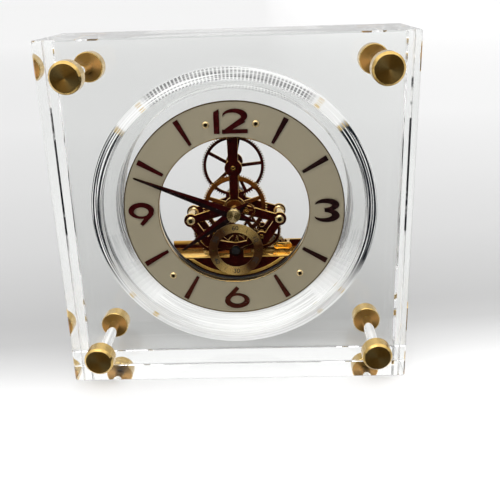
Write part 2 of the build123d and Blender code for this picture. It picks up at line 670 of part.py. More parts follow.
# Shelf, battery box and contacts
shelf_depth = PLATE_BACK - BRIDGE_BACK
shelf_y = (PLATE_BACK + BRIDGE_BACK) / 2
shelf_z = CENTRE_Z + SHELF_TOP
shelf = Pos(0, shelf_y, shelf_z - SHELF_THICK / 2) * Box(2 * SHELF_HALF_WIDTH, shelf_depth, SHELF_THICK)
nodes["base_shelf"] = shelf

box_top = SHELF_TOP - SHELF_THICK
box_bottom = BATTERY_Z - BATTERY_RADIUS - BATTERY_GAP - BOX_WALL
box_side = BOX_INNER + BOX_WALL
box_outline = block(-box_side, box_side, box_bottom, box_top)
room = block(-BOX_INNER, BOX_INNER, box_bottom + BOX_WALL, box_top)
battery_box = plate(box_outline, BRIDGE_BACK, BOX_BACK)
battery_box -= plate(room, BRIDGE_BACK + BOX_WALL, BOX_BACK)
nodes["battery_box"] = battery_box
contacts = Part()
for side in (-1, 1):
    leaf = Pos(side * (BOX_INNER - CONTACT_THICK / 2), BATTERY_Z) * Rectangle(CONTACT_THICK, CONTACT_HEIGHT)
    contacts += plate(leaf, BRIDGE_BACK + BOX_WALL, BOX_BACK - CONTACT_SHORT)
nodes["battery_contacts"] = contacts

along = Plane((-BATTERY_LENGTH / 2, BATTERY_Y, CENTRE_Z + BATTERY_Z), x_dir=(0, 1, 0), z_dir=(1, 0, 0))
battery = extrude(along * Circle(BATTERY_RADIUS), amount=BATTERY_LENGTH)
battery = fillet(battery.edges().filter_by(GeomType.CIRCLE), BATTERY_EDGE)
battery += extrude(along * Circle(BATTERY_NUB_RADIUS), amount=BATTERY_LENGTH + BATTERY_NUB)
nodes["battery"] = battery

# Minute shaft with its pinion, hands and the setting knob
shaft_front = CAP_Y[0] + CAP_WALL
shaft_back = SETTING_Y[1] - SETTING_WALL
minute_shaft = bar(SHAFT_RADIUS, shaft_front, shaft_back)
minute_shaft += placed(gear_outline(CANNON_TEETH, CANNON_MODULE, 0.0), CENTRE_SPOT, CANNON_Y)
nodes["minute_shaft"] = minute_shaft
cap = chamfer(bar(CAP_RADIUS, *CAP_Y).edges().filter_by(GeomType.CIRCLE).sort_by(Axis.Y)[0], CAP_EDGE)
nodes["hand_cap"] = cap - bar(SHAFT_RADIUS + THREAD_GAP, shaft_front, CAP_Y[1])


def hand(length, tail, width, angle, hole, hub_wall):
    shape = Polygon((length, 0), (0, width / 2), (-tail, 0), (0, -width / 2), align=None)
    shape += Circle(hole + hub_wall)
    shape -= Circle(hole)
    return Rot(0, 0, 90 - angle) * shape


minute_blade = (MINUTE_HAND_LENGTH, MINUTE_HAND_TAIL, MINUTE_HAND_WIDTH, MINUTE_ANGLE)
minute_hand = hand(*minute_blade, SHAFT_RADIUS + THREAD_GAP, MINUTE_HUB_WALL)
nodes["minute_hand"] = plate(minute_hand, *MINUTE_HAND_Y)
hour_blade = (HOUR_HAND_LENGTH, HOUR_HAND_TAIL, HOUR_HAND_WIDTH, HOUR_ANGLE)
hour_hand = hand(*hour_blade, HOUR_PIPE_RADIUS + THREAD_GAP, HOUR_HUB_WALL)
nodes["hour_hand"] = plate(hour_hand, *HOUR_HAND_Y)
setting = Circle(SETTING_RADIUS)
for flute in range(SETTING_FLUTES):
    setting -= at(polar(SETTING_RADIUS, 2 * pi * flute / SETTING_FLUTES)) * Circle(SETTING_FLUTE_RADIUS)
setting_knob = plate(setting, *SETTING_Y)
setting_knob -= bar(SHAFT_RADIUS + THREAD_GAP, SETTING_Y[0], shaft_back)
nodes["setting_knob"] = setting_knob

# Motion work
motion_phase = meshing_phase(CENTRE_SPOT, CANNON_TEETH, 0.0, MOTION_SPOT, MINUTE_WHEEL_TEETH)
motion_sketch = spoked_wheel(MINUTE_WHEEL_TEETH, CANNON_MODULE, SMALL_FORM, MOTION_SPOKES, motion_phase)
motion = placed(motion_sketch, MOTION_SPOT, MINUTE_WHEEL_Y)
motion += placed(gear_outline(HOUR_PINION_TEETH, HOUR_MODULE, 0.0), MOTION_SPOT, HOUR_PINION_Y)
motion -= bar(PIVOT_HOLE, HOUR_PINION_Y[0], MINUTE_WHEEL_Y[1], MOTION_SPOT)
nodes["motion_wheel"] = motion
stud_head_back = HOUR_PINION_Y[0] - STUD_GAP
motion_stud = bar(PIVOT_RADIUS, stud_head_back, BRIDGE_FRONT, MOTION_SPOT)
motion_stud += bar(STUD_HEAD, stud_head_back - STUD_HEAD_DEPTH, stud_head_back, MOTION_SPOT)
motion_stud += bar(STUD_COLLAR, MINUTE_WHEEL_Y[1] + STUD_GAP, BRIDGE_FRONT, MOTION_SPOT)
nodes["motion_stud"] = motion_stud
hour_phase = meshing_phase(MOTION_SPOT, HOUR_PINION_TEETH, 0.0, CENTRE_SPOT, HOUR_TEETH)
hour_wheel = placed(gear_outline(HOUR_TEETH, HOUR_MODULE, hour_phase), CENTRE_SPOT, HOUR_WHEEL_Y)
hour_wheel += bar(HOUR_PIPE_RADIUS, HOUR_HAND_Y[0] - PIPE_OVER, HOUR_WHEEL_Y[1])
hour_wheel -= bar(SLEEVE_BORE, HOUR_HAND_Y[0] - PIPE_OVER, HOUR_WHEEL_Y[1])
nodes["hour_wheel"] = hour_wheel

# Going train
centre_sketch = spoked_wheel(CENTRE_TEETH, CENTRE_MODULE, CENTRE_FORM, TRAIN_SPOKES, turn=18)
centre = placed(centre_sketch, CENTRE_SPOT, CENTRE_WHEEL_Y)
centre += bar(SLEEVE_RADIUS, ARBOR_FRONT, CENTRE_WHEEL_Y[1] + SLEEVE_OVER)
centre -= bar(SLEEVE_BORE, ARBOR_FRONT, CENTRE_WHEEL_Y[1] + SLEEVE_OVER)
nodes["centre_wheel"] = centre

upper_phase = meshing_phase(CENTRE_SPOT, CENTRE_TEETH, 0.0, UPPER_SPOT, UPPER_PINION_TEETH)
upper_sketch = spoked_wheel(UPPER_TEETH, CENTRE_MODULE, UPPER_FORM, TRAIN_SPOKES, turn=6)
upper = placed(upper_sketch, UPPER_SPOT, SECOND_ROW_Y)
upper += placed(gear_outline(UPPER_PINION_TEETH, CENTRE_MODULE, upper_phase), UPPER_SPOT, CENTRE_PINION_Y)
upper += arbor(UPPER_SPOT, ARBOR_FRONT, ARBOR_BACK)
nodes["upper_wheel"] = upper

third_phase = meshing_phase(CENTRE_SPOT, CENTRE_TEETH, 0.0, THIRD_SPOT, THIRD_PINION_TEETH)
third_sketch = spoked_wheel(THIRD_TEETH, THIRD_MODULE, THIRD_FORM, TRAIN_SPOKES, turn=30)
third = placed(third_sketch, THIRD_SPOT, SECOND_ROW_Y)
third += placed(gear_outline(THIRD_PINION_TEETH, CENTRE_MODULE, third_phase), THIRD_SPOT, CENTRE_PINION_Y)
third += arbor(THIRD_SPOT, ARBOR_FRONT, ARBOR_BACK)
nodes["third_wheel"] = third

seconds_phase = meshing_phase(THIRD_SPOT, THIRD_TEETH, 0.0, SECONDS_SPOT, SECONDS_PINION_TEETH)
seconds_sketch = spoked_wheel(SECONDS_TEETH, SECONDS_MODULE, SMALL_FORM, SMALL_SPOKES)
seconds = placed(seconds_sketch, SECONDS_SPOT, THIRD_ROW_Y)
seconds_pinion = gear_outline(SECONDS_PINION_TEETH, THIRD_MODULE, seconds_phase)
seconds += placed(seconds_pinion, SECONDS_SPOT, SECOND_PINION_Y)
seconds += arbor(SECONDS_SPOT, ARBOR_FRONT, ARBOR_BACK)
seconds_tip = SECONDS_HUB_Y[0] + SECONDS_HUB_WALL
seconds += bar(PIVOT_RADIUS, seconds_tip, BRIDGE_FRONT, SECONDS_SPOT)
nodes["seconds_wheel"] = seconds
hub = bar(SECONDS_HUB, *SECONDS_HUB_Y, SECONDS_SPOT)
hub = fillet(hub.edges().filter_by(GeomType.CIRCLE).sort_by(Axis.Y)[0], SECONDS_HUB_ROUND)
hub -= bar(PIVOT_RADIUS + THREAD_GAP, seconds_tip, SECONDS_HUB_Y[1], SECONDS_SPOT)
nodes["seconds_hub"] = hub
pointer = strut(CENTRE_SPOT, (SECONDS_HAND_LENGTH, 0), SECONDS_HAND_WIDTH, SECONDS_HAND_WIDTH / 3)
pointer += Circle(SECONDS_HUB + SECONDS_COLLAR)
pointer += strut(CENTRE_SPOT, (-SECONDS_HAND_TAIL, 0), SECONDS_HAND_WIDTH, SECONDS_HAND_WIDTH)
pointer -= Circle(SECONDS_HUB)
seconds_hand = at(SECONDS_SPOT) * (Rot(0, 0, 90 - SECONDS_ANGLE) * pointer)
nodes["seconds_hand"] = plate(seconds_hand, *SECONDS_HAND_Y)

idler_phase = meshing_phase(SECONDS_SPOT, SECONDS_TEETH, 0.0, IDLER_SPOT, IDLER_TEETH)
idler_sketch = spoked_wheel(IDLER_TEETH, SECONDS_MODULE, SMALL_FORM, SMALL_SPOKES, idler_phase)
idler = placed(idler_sketch, IDLER_SPOT, THIRD_ROW_Y)
idler_front = THIRD_ROW_Y[0] - IDLER_BOSS_DEPTH
idler += bar(IDLER_BOSS, idler_front, THIRD_ROW_Y[1], IDLER_SPOT)
idler -= bar(ARBOR_RADIUS + PIVOT_GAP, idler_front, THIRD_ROW_Y[1], IDLER_SPOT)
nodes["idler_wheel"] = idler
stud_head_front = THIRD_ROW_Y[1] + STUD_GAP
idler_stud = bar(ARBOR_RADIUS, BRIDGE_BACK, stud_head_front, IDLER_SPOT)
idler_stud += bar(STUD_COLLAR, BRIDGE_BACK, idler_front - STUD_GAP, IDLER_SPOT)
idler_stud += bar(STUD_COLLAR, stud_head_front, stud_head_front + STUD_HEAD_DEPTH, IDLER_SPOT)
nodes["idler_stud"] = idler_stud
inter_phase = meshing_phase(IDLER_SPOT, IDLER_TEETH, idler_phase, INTER_SPOT, INTER_PINION_TEETH)
inter_sketch = spoked_wheel(INTER_TEETH, INTER_MODULE, INTER_FORM, TRAIN_SPOKES, turn=-20)
inter = placed(inter_sketch, INTER_SPOT, FOURTH_ROW_Y)
inter += placed(gear_outline(INTER_PINION_TEETH, SECONDS_MODULE, inter_phase), INTER_SPOT, THIRD_ROW_PINION_Y)
inter += arbor(INTER_SPOT, ARBOR_FRONT, ARBOR_BACK)
nodes["intermediate_wheel"] = inter

rotor_phase = meshing_phase(INTER_SPOT, INTER_TEETH, 0.0, ROTOR_SPOT, ROTOR_PINION_TEETH)
rotor = placed(gear_outline(ROTOR_PINION_TEETH, INTER_MODULE, rotor_phase), ROTOR_SPOT, FOURTH_PINION_Y)
rotor += bar(MAGNET_RADIUS, *MAGNET_Y, ROTOR_SPOT)
rotor_front = COCK_Y[1] + PLATE_END_GAP
rotor += bar(ARBOR_RADIUS, rotor_front, ARBOR_BACK, ROTOR_SPOT)
rotor += bar(PIVOT_RADIUS, COCK_Y[0] - BUSH_RISE, rotor_front, ROTOR_SPOT)
rotor += bar(PIVOT_RADIUS, ARBOR_BACK, PLATE_BACK + BUSH_RISE, ROTOR_SPOT)
nodes["rotor"] = rotor

# Rotor cock, stator, coil and circuit of the quartz drive
cock_foot = (ROTOR_SPOT[0] + COCK_REACH, ROTOR_SPOT[1])
cock = strut(ROTOR_SPOT, cock_foot, COCK_WIDTH, COCK_WIDTH)
cock += at(ROTOR_SPOT) * Circle(COCK_EYE) + at(cock_foot) * Circle(COCK_EYE)
cock -= at(ROTOR_SPOT) * Circle(PIVOT_HOLE)
rotor_cock = plate(cock, *COCK_Y)
rotor_cock += bar(COCK_POST, COCK_Y[1], PLATE_FRONT, cock_foot)
nodes["rotor_cock"] = rotor_cock

stator_bottom = SHELF_TOP + STATOR_RISE
stator_top = stator_bottom + STATOR_HEIGHT
stator_mid = (stator_bottom + stator_top) / 2
stator_eye = MAGNET_RADIUS + STATOR_GAP + STATOR_EYE_WALL
stator_shape = block(STATOR_LEFT, ROTOR_SPOT[0], stator_bottom, stator_top)
stator_shape -= block(*COIL_SPAN, stator_bottom, stator_top)
stator_shape += at(ROTOR_SPOT) * Circle(stator_eye)
stator_shape &= above(stator_bottom)
stator_shape -= at(ROTOR_SPOT) * Circle(MAGNET_RADIUS + STATOR_GAP)
stator = plate(stator_shape, *STATOR_Y)
for foot_x in (STATOR_LEFT_FOOT, ROTOR_SPOT[0] - stator_eye + STATOR_FOOT):
    stator += bar(STATOR_FOOT, STATOR_Y[1], PLATE_FRONT, (foot_x, stator_mid))
nodes["stator"] = stator
coil_start = (COIL_SPAN[0], sum(STATOR_Y) / 2, CENTRE_Z + stator_mid)
coil_plane = Plane(coil_start, x_dir=(0, 1, 0), z_dir=(1, 0, 0))
nodes["coil"] = extrude(coil_plane * Circle(COIL_RADIUS), amount=COIL_SPAN[1] - COIL_SPAN[0])

board_top = SHELF_TOP + BOARD_HEIGHT
board_y = (PLATE_BACK + BOARD_GAP, PLATE_BACK + BOARD_GAP + BOARD_THICK)
board_shape = block(-BOARD_WIDTH / 2, BOARD_WIDTH / 2, SHELF_TOP, board_top)
board_shape += block(-BOARD_TAB_WIDTH / 2, BOARD_TAB_WIDTH / 2, SHELF_TOP, board_top + BOARD_TAB_HEIGHT)
board_shape -= at(SECONDS_SPOT) * Circle(ARBOR_CUT)
board = plate(board_shape, *board_y)
for foot_x in (-BOARD_FOOT_X, BOARD_FOOT_X):
    board += bar(BOARD_FOOT, PLATE_BACK, board_y[0], (foot_x, SHELF_TOP + BOARD_FOOT_RISE))
nodes["circuit_board"] = board

os.makedirs("parts", exist_ok=True)
for name, shape in nodes.items():
    export_step(shape, f"parts/{name}.step")
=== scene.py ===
import json
import math

import bmesh
import bpy
from bpy.props import FloatProperty, FloatVectorProperty, IntProperty, PointerProperty
from bpy.types import NodeSocket, Operator, Panel, PropertyGroup
from mathutils import Matrix, Vector

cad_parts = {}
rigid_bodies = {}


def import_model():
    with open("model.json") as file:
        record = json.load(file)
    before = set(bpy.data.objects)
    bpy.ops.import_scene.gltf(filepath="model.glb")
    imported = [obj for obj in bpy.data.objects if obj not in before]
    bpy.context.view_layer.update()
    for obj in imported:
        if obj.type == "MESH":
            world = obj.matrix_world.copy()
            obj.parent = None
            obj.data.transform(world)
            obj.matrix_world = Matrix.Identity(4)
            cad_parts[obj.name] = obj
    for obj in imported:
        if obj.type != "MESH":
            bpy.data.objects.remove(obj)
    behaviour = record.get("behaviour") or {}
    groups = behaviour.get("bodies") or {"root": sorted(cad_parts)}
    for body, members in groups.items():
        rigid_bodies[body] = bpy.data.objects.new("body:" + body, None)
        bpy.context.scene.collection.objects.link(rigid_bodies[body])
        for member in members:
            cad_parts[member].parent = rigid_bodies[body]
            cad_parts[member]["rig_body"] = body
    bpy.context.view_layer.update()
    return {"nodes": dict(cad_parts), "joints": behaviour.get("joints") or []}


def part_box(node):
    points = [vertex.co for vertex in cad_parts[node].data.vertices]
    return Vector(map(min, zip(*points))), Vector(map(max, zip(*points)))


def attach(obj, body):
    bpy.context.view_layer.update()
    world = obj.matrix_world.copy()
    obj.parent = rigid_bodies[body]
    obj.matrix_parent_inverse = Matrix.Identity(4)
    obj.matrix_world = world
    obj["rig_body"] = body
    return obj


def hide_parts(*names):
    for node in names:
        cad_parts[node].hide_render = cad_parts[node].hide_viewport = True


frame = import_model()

bl_info = {
    "name": "Clear slab skeleton clock",
    "version": (1, 0, 0),
    "blender": (4, 5, 0),
    "location": "3D View > Sidebar > Clock",
    "description": "Dresses a two-slab acrylic skeleton clock: slabs, knobs, dial, hands, train and drive",
    "category": "Object",
}

MM = 0.001
FULL_TURN = 2 * math.pi
FRONT = (0, -1, 0)
ALONG_X = Vector((1, 0, 0))
ALONG_Y = Vector((0, 1, 0))

# Distances within which vertices are joined, and angles in degrees
SEAM_WELD = 1e-7
SOLID_WELD = 1e-6
CUT_WELD = 2e-6
FLAT_ANGLE = 0.5
SHADE_ANGLE = 35
BEVEL_ANGLE = 50


def joint_spot(name):
    for joint in frame["joints"]:
        if joint["name"] == name:
            return Vector(joint["pos_m"])
    raise ValueError(f"no joint named {name}")


CENTRE = joint_spot("minute_turn")


# Settings that a user would change


def length(name, description, millimetres):
    return FloatProperty(
        name=name, description=description, default=millimetres * MM, unit="LENGTH", precision=5
    )


def colour(name, description, value):
    return FloatVectorProperty(
        name=name, description=description, default=value, subtype="COLOR", size=3, min=0.0, max=1.0
    )


class ClockSlabSettings(PropertyGroup):
    joint_gap: length("Joint gap", "Air left between the two slabs, each side of the joint", 0.06)
    edge_break: length("Edge break", "Polished chamfer round the outer faces", 0.8)
    corner_break: length("Corner break", "Small polished chamfer on the other edges", 0.6)
    seat_radius: length("Seat radius", "Counterbore that holds the carrier disc", 84.0)
    seat_depth: length("Seat depth", "Depth of that counterbore", 6.0)
    hollow_radius: length("Hollow radius", "Blind hollow behind the window", 77.5)
    window_back: length("Window back", "Depth of the hollow's floor in front of the joint", 16.0)
    rear_bore: length("Rear bore", "Through bore of the rear slab", 71.0)
    stud_hole: length("Stud hole", "Radius of the four stud holes", 3.3)
    carrier_hole: length("Carrier hole", "Middle hole of the carrier disc", 48.0)
    ridge: length("Tool ridge", "Depth of the rings a boring tool leaves on a wall", 0.22)
    bore_steps: IntProperty(name="Bore steps", description="Facets round the large bores", default=288)


class ClockKnobSettings(PropertyGroup):
    rim_bevel: length("Rim bevel", "Bright bevel round the knob's face", 1.4)
    back_bevel: length("Back bevel", "Small bevel next to the slab", 0.5)
    thread_radius: length("Thread radius", "Hole for the stud", 3.05)
    end_wall: length("End wall", "Metal left in front of the hole", 2.5)
    steps: IntProperty(name="Knob steps", description="Facets round a knob", default=96)


class ClockHandSettings(PropertyGroup):
    minute_angle: FloatProperty(name="Minute angle", description="Clockwise from twelve", default=292.0)
    hour_angle: FloatProperty(name="Hour angle", description="Clockwise from twelve", default=234.3)
    minute_reach: length("Minute hand", "Pivot to tip", 62.0)
    minute_tail: length("Minute tail", "Pivot to tail", 15.0)
    minute_width: length("Minute width", "Widest point", 6.4)
    hour_reach: length("Hour hand", "Pivot to tip", 39.0)
    hour_tail: length("Hour tail", "Pivot to tail", 12.6)
    hour_width: length("Hour width", "Widest point", 6.6)
    tip_width: length("Tip width", "Width of a hand at its tip", 1.2)
    edge_thick: length("Edge", "Thickness of a hand at its edge", 0.3)


class ClockColourSettings(PropertyGroup):
    acrylic: colour("Acrylic", "Clear slab", (0.985, 0.99, 0.985))
    gold: colour("Gold", "Polished gold plate", (0.88, 0.54, 0.13))
    # maroon and marks: partly dark polish, partly painted reflection of the dark room in front
    maroon: colour("Dark polish", "Burnished dark faces of the bridge and wheels", (0.030, 0.0026, 0.0018))
    marks: colour("Marks", "Dark polish of the numerals, batons and hands", (0.026, 0.0016, 0.0018))
    brass: colour("Brass", "Turned brass of the knobs", (0.62, 0.42, 0.14))
    # painted shade: the knob face darker than the brass, standing in for the dark room mirrored in it
    knob_face: colour("Knob face", "Darker turned face of the knobs", (0.24, 0.125, 0.022))
    knob_seat: colour("Knob seat", "Turned face of a knob against the slab", (0.60, 0.35, 0.08))
    amber: colour("Amber", "Faces of the gilt wheels", (0.30, 0.095, 0.010))
    dial: colour("Dial", "Satin champagne silver", (0.27, 0.232, 0.156))
    silver: colour("Silver", "Satin ring wall", (0.38, 0.36, 0.31))
    seconds: colour("Seconds ring", "Circular brushed brass", (0.072, 0.026, 0.006))
    ink: colour("Ink", "Printed marks", (0.012, 0.010, 0.008))
    black: colour("Black", "Moulded plastic", (0.016, 0.016, 0.017))
    nickel: colour("Nickel", "Contacts and magnet", (0.62, 0.60, 0.55))
    board: colour("Board", "Solder mask", (0.012, 0.075, 0.03))
    copper: colour("Copper", "Coil winding", (0.55, 0.20, 0.07))
    rim: colour("Rims", "Pale gold of the dial's inner rim", (0.74, 0.55, 0.28))
    pillar: colour("Pillars", "Pale gold of the pillars", (0.93, 0.70, 0.36))
    wrap: colour("Battery wrap", "Plain wrap round the battery", (0.030, 0.036, 0.045))
    floor: colour("Floor", "Plain pale floor", (0.95, 0.95, 0.95))


SETTING_GROUPS = {
    "clock_slabs": ClockSlabSettings,
    "clock_knobs": ClockKnobSettings,
    "clock_hands": ClockHandSettings,
    "clock_colours": ClockColourSettings,
}


# Mesh helpers


def half_width(low, high):
    return (high.x - low.x) / 2


def axis_spot(low, high, depth=0.0):
    """The point at a depth on a box's front-to-back axis."""
    return Vector(((low.x + high.x) / 2, depth, (low.z + high.z) / 2))


def off_axis(point, spot):
    """How far a point lies from the front-to-back axis through a spot."""
    return Vector((point.x - spot.x, point.z - spot.z)).length


def lathe(mesh, profile, spot, steps, closed=False, axis=ALONG_Y):
    """Spins a profile of (radius, depth) pairs round an axis through a spot."""
    side = ALONG_X if axis.y else ALONG_Y
    made = [mesh.verts.new(spot + side * radius + axis * depth) for radius, depth in profile]
    ring = made + made[:1] if closed else made
    edges = [mesh.edges.new(pair) for pair in zip(ring, ring[1:])]
    bmesh.ops.spin(
        mesh, geom=made + edges, cent=spot, axis=axis, angle=FULL_TURN, steps=steps, use_merge=True
    )


def close_up(mesh):
    bmesh.ops.remove_doubles(mesh, verts=mesh.verts, dist=SEAM_WELD)
    bmesh.ops.recalc_face_normals(mesh, faces=mesh.faces)


def bevel_edges(mesh, edges, width, segments=1):
    bmesh.ops.bevel(
        mesh, geom=edges, offset=width, offset_type="OFFSET", affect="EDGES",
        segments=segments, profile=0.5, material=-1, clamp_overlap=True,
    )


def sharp_edges(mesh, degrees=BEVEL_ANGLE):
    limit = math.radians(degrees)
    return [e for e in mesh.edges if len(e.link_faces) == 2 and e.calc_face_angle(0) > limit]


def block(mesh, low, high):
    made = bmesh.ops.create_cube(mesh, size=1.0)["verts"]
    bmesh.ops.scale(mesh, vec=high - low, verts=made)
    bmesh.ops.translate(mesh, vec=(low + high) / 2, verts=made)
    return made


def shade(data, sharp):
    data.polygons.foreach_set("use_smooth", [True] * len(data.polygons))
    data.set_sharp_from_angle(angle=math.radians(sharp))


def as_object(name, mesh, sharp=SHADE_ANGLE):
    data = bpy.data.meshes.new(name)
    mesh.to_mesh(data)
    mesh.free()
    shade(data, sharp)
    made = bpy.data.objects.new(name, data)
    bpy.context.scene.collection.objects.link(made)
    return made


def turn_piece(name, profile, spot, steps, closed=False, axis=ALONG_Y, sharp=SHADE_ANGLE):
    """An object turned from one profile."""
    mesh = bmesh.new()
    lathe(mesh, profile, spot, steps, closed, axis)
    close_up(mesh)
    return as_object(name, mesh, sharp)


def dress(piece, body, finishes, stands_for):
    for finish in finishes:
        piece.data.materials.append(finish)
    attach(piece, body)
    if stands_for:
        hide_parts(*stands_for)
    return piece


def body_of(node):
    return frame["nodes"][node]["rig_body"]


def keep(node, finish):
    """Gives a solid whose shape is right its look."""
    shown = frame["nodes"][node]
    shown.data.materials.clear()
    shown.data.materials.append(finish)


def solid_mesh(node):
    """A copy of a solid's mesh with its loose triangles joined."""
    mesh = bmesh.new()
    mesh.from_mesh(frame["nodes"][node].data)
    bmesh.ops.remove_doubles(mesh, verts=mesh.verts, dist=SOLID_WELD)
    return mesh


def bevelled_copy(node, width, finish, segments=1):
    """A copy of a solid with a fine bevel, its width in millimetres, along its sharp edges."""
    mesh = solid_mesh(node)
    bmesh.ops.dissolve_limit(
        mesh, angle_limit=math.radians(FLAT_ANGLE), verts=mesh.verts, edges=mesh.edges,
        use_dissolve_boundaries=False,
    )
    bevel_edges(mesh, sharp_edges(mesh), width * MM, segments)
    piece = as_object(node + "_dressed", mesh)
    piece.data.materials.clear()
    return dress(piece, body_of(node), (finish,), (node,))


def carve(piece, cutters, sharp=25):
    """Cuts every cutter out of a piece, clears the slivers left by the cuts and drops the cutters."""
    for cutter in cutters:
        cut = piece.modifiers.new("carve", "BOOLEAN")
        cut.operation = "DIFFERENCE"
        cut.solver = "EXACT"
        cut.object = cutter
    graph = bpy.context.evaluated_depsgraph_get()
    carved = bpy.data.meshes.new_from_object(piece.evaluated_get(graph))
    piece.modifiers.clear()
    piece.data = carved
    for cutter in cutters:
        bpy.data.objects.remove(cutter)
    mesh = bmesh.new()
    mesh.from_mesh(carved)
    bmesh.ops.remove_doubles(mesh, verts=mesh.verts, dist=CUT_WELD)
    bmesh.ops.dissolve_degenerate(mesh, edges=mesh.edges, dist=CUT_WELD)
    bmesh.ops.triangulate(mesh, faces=[f for f in mesh.faces if len(f.verts) > 4])
    bmesh.ops.recalc_face_normals(mesh, faces=mesh.faces)
    mesh.to_mesh(carved)
    mesh.free()
    shade(carved, sharp)


def islands(node):
    """Low and high corners of each separate solid of a node."""
    mesh = solid_mesh(node)
    left = set(mesh.verts)
    found = []
    while left:
        heap = [left.pop()]
        group = list(heap)
        while heap:
            for edge in heap.pop().link_edges:
                for vert in edge.verts:
                    if vert in left:
                        left.remove(vert)
                        heap.append(vert)
                        group.append(vert)
        spots = [v.co for v in group]
        found.append([Vector([pick(s[i] for s in spots) for i in range(3)]) for pick in (min, max)])
    mesh.free()
    return sorted(found, key=lambda pair: (round(pair[0].x, 5), round(pair[0].z, 5)))


SCREW_DOME = ((0, 0.6), (0.44, 0.6), (0.52, 0.02), (0.66, 0.05), (0.86, 0.26), (1.0, 0.62), (1.0, 1.0))
SCREW_STEPS = 48


def turn_screws(node, head, painted_shade_well, rise, shank, wide=1.0, both=False):
    """Screws with domed heads, each with a dished middle painted near black as shade, on plain shanks;
    both ends may have a head.
    """
    mesh = bmesh.new()
    boxes = islands(node)
    for low, high in boxes:
        radius, deep = wide * half_width(low, high), high.y - low.y
        profile = [(radius * out, rise * down) for out, down in SCREW_DOME]
        foot = [(shank, deep), (0, deep)]
        if both:
            foot = [(shank, deep - rise)] + [(out, deep - down) for out, down in reversed(profile)]
        lathe(mesh, profile + [(shank, rise)] + foot, axis_spot(low, high, low.y), SCREW_STEPS)
    close_up(mesh)
    piece = dress(as_object(node + "_turned", mesh), body_of(node), (head, painted_shade_well), (node,))
    # painted shade: the dished middles take the near-black second finish
    dish = 0.7 * rise
    for face in piece.data.polygons:
        for low, high in boxes:
            dished = face.center.y < low.y + dish or (both and face.center.y > high.y - dish)
            if dished and off_axis(face.center, (low + high) / 2) < 0.5 * wide * half_width(low, high):
                face.material_index = 1


# Material helpers


def tint(value, factor):
    return tuple(min(1.0, channel * factor) for channel in value)


def stripes(*spans):
    """Ramp stops that are 0 at both ends of each span of places and 1 at the places between."""
    return [(place, float(0 < at < len(span) - 1)) for span in spans for at, place in enumerate(span)]


class Graph:
    """A node tree with a short call for each kind of node it is built from."""

    def __init__(self, tree):
        self.tree = tree

    def link(self, value, socket):
        """Feeds a socket from a node, or sets it to a constant."""
        if isinstance(value, NodeSocket):
            self.tree.links.new(value, socket)
        else:
            socket.default_value = value

    def add(self, kind, inputs=None, **settings):
        made = self.tree.nodes.new("ShaderNode" + kind)
        for key, value in settings.items():
            setattr(made, key, value)
        for key, value in (inputs or {}).items():
            self.link(value, made.inputs[key])
        return made

    def calc(self, operation, a, b=0.0):
        return self.add("Math", {0: a, 1: b}, operation=operation).outputs[0]

    def times(self, a, b):
        return self.calc("MULTIPLY", a, b)

    def plus(self, a, b):
        return self.calc("ADD", a, b)

    def vector(self, operation, inputs, output=0):
        return self.add("VectorMath", inputs, operation=operation).outputs[output]

    def split(self, vector):
        return self.add("SeparateXYZ", {0: vector}).outputs

    def share(self, value, low, high):
        """Where a value lies between two limits, from 0 to 1."""
        return self.add("MapRange", {"Value": value, "From Min": low, "From Max": high}).outputs[0]

    def ramp(self, factor, stops):
        made = self.add("ValToRGB", {"Fac": factor})
        elements = made.color_ramp.elements
        while len(elements) < len(stops):
            elements.new(0.5)
        for element, (place, value) in zip(elements, stops):
            element.position = place
            element.color = (*value, 1.0) if isinstance(value, tuple) else (value, value, value, 1.0)
        return made.outputs["Color"]

    def mix(self, factor, a, b):
        """Colour a where the factor is 0, colour b where it is 1."""
        made = self.add("Mix", {0: factor}, data_type="RGBA")
        for socket, value in ((6, a), (7, b)):
            self.link(value if isinstance(value, NodeSocket) else (*value, 1.0), made.inputs[socket])
        return made.outputs[2]

    def noise(self, place, scale, detail=3.0):
        inputs = {"Vector": place, "Scale": scale, "Detail": detail, "Roughness": 0.55}
        return self.add("TexNoise", inputs).outputs["Fac"]

    def place(self, spot=Vector()):
        """Object coordinates counted from a spot."""
        own = self.add("TexCoord").outputs["Object"]
        return self.vector("SUBTRACT", {0: own, 1: tuple(spot)})

    def angle(self, parts):
        """Angle round the front-to-back axis, clockwise from the top."""
        return self.calc("ARCTAN2", parts["X"], parts["Z"])

    def radius(self, parts):
        flat = self.add("CombineXYZ", {"X": parts["X"], "Y": parts["Z"]})
        return self.vector("LENGTH", {0: flat.outputs[0]}, "Value")

    def streaks(self, angle, across, along, crowd):
        """Noise drawn out round the turning axis."""
        place = self.add("CombineXYZ", {
            "X": self.times(self.calc("SINE", angle), along),
            "Y": self.times(self.calc("COSINE", angle), along),
            "Z": self.times(across, crowd),
        })
        return self.noise(place.outputs[0], 1.0, 1.5)

    def mirrored(self, path):
        """1 for light that a polished face has mirrored, else 0."""
        return self.calc("GREATER_THAN", path.outputs["Glossy Depth"], 0.5)


class Finish(Graph):
    """A material's node tree, built onto its shader."""

    def __init__(self, name):
        self.material = bpy.data.materials.new(name)
        self.material.use_nodes = True
        super().__init__(self.material.node_tree)
        self.shader = self.tree.nodes["Principled BSDF"]

    def feed(self, name, value):
        self.link(value, self.shader.inputs[name])

    def bump(self, height, strength, distance):
        made = self.add("Bump", {"Height": height, "Strength": strength, "Distance": distance})
        self.feed("Normal", made.outputs["Normal"])

    def varied(self, base, tone, spread):
        return self.ramp(tone, [(0.3, tint(base, 1 - spread)), (0.7, tint(base, 1 + spread))])

    def surface(self, shown, rough):
        """Feeds the colour and the roughness and gives the material."""
        self.feed("Base Color", shown)
        self.feed("Roughness", rough)
        return self.material


# Finishes

ACRYLIC_IOR = 1.49
PLAIN_GRAIN = 900.0
FACE_GRAIN = 300.0
METAL_SPREAD = 0.08
PLASTIC_SPREAD = 0.2
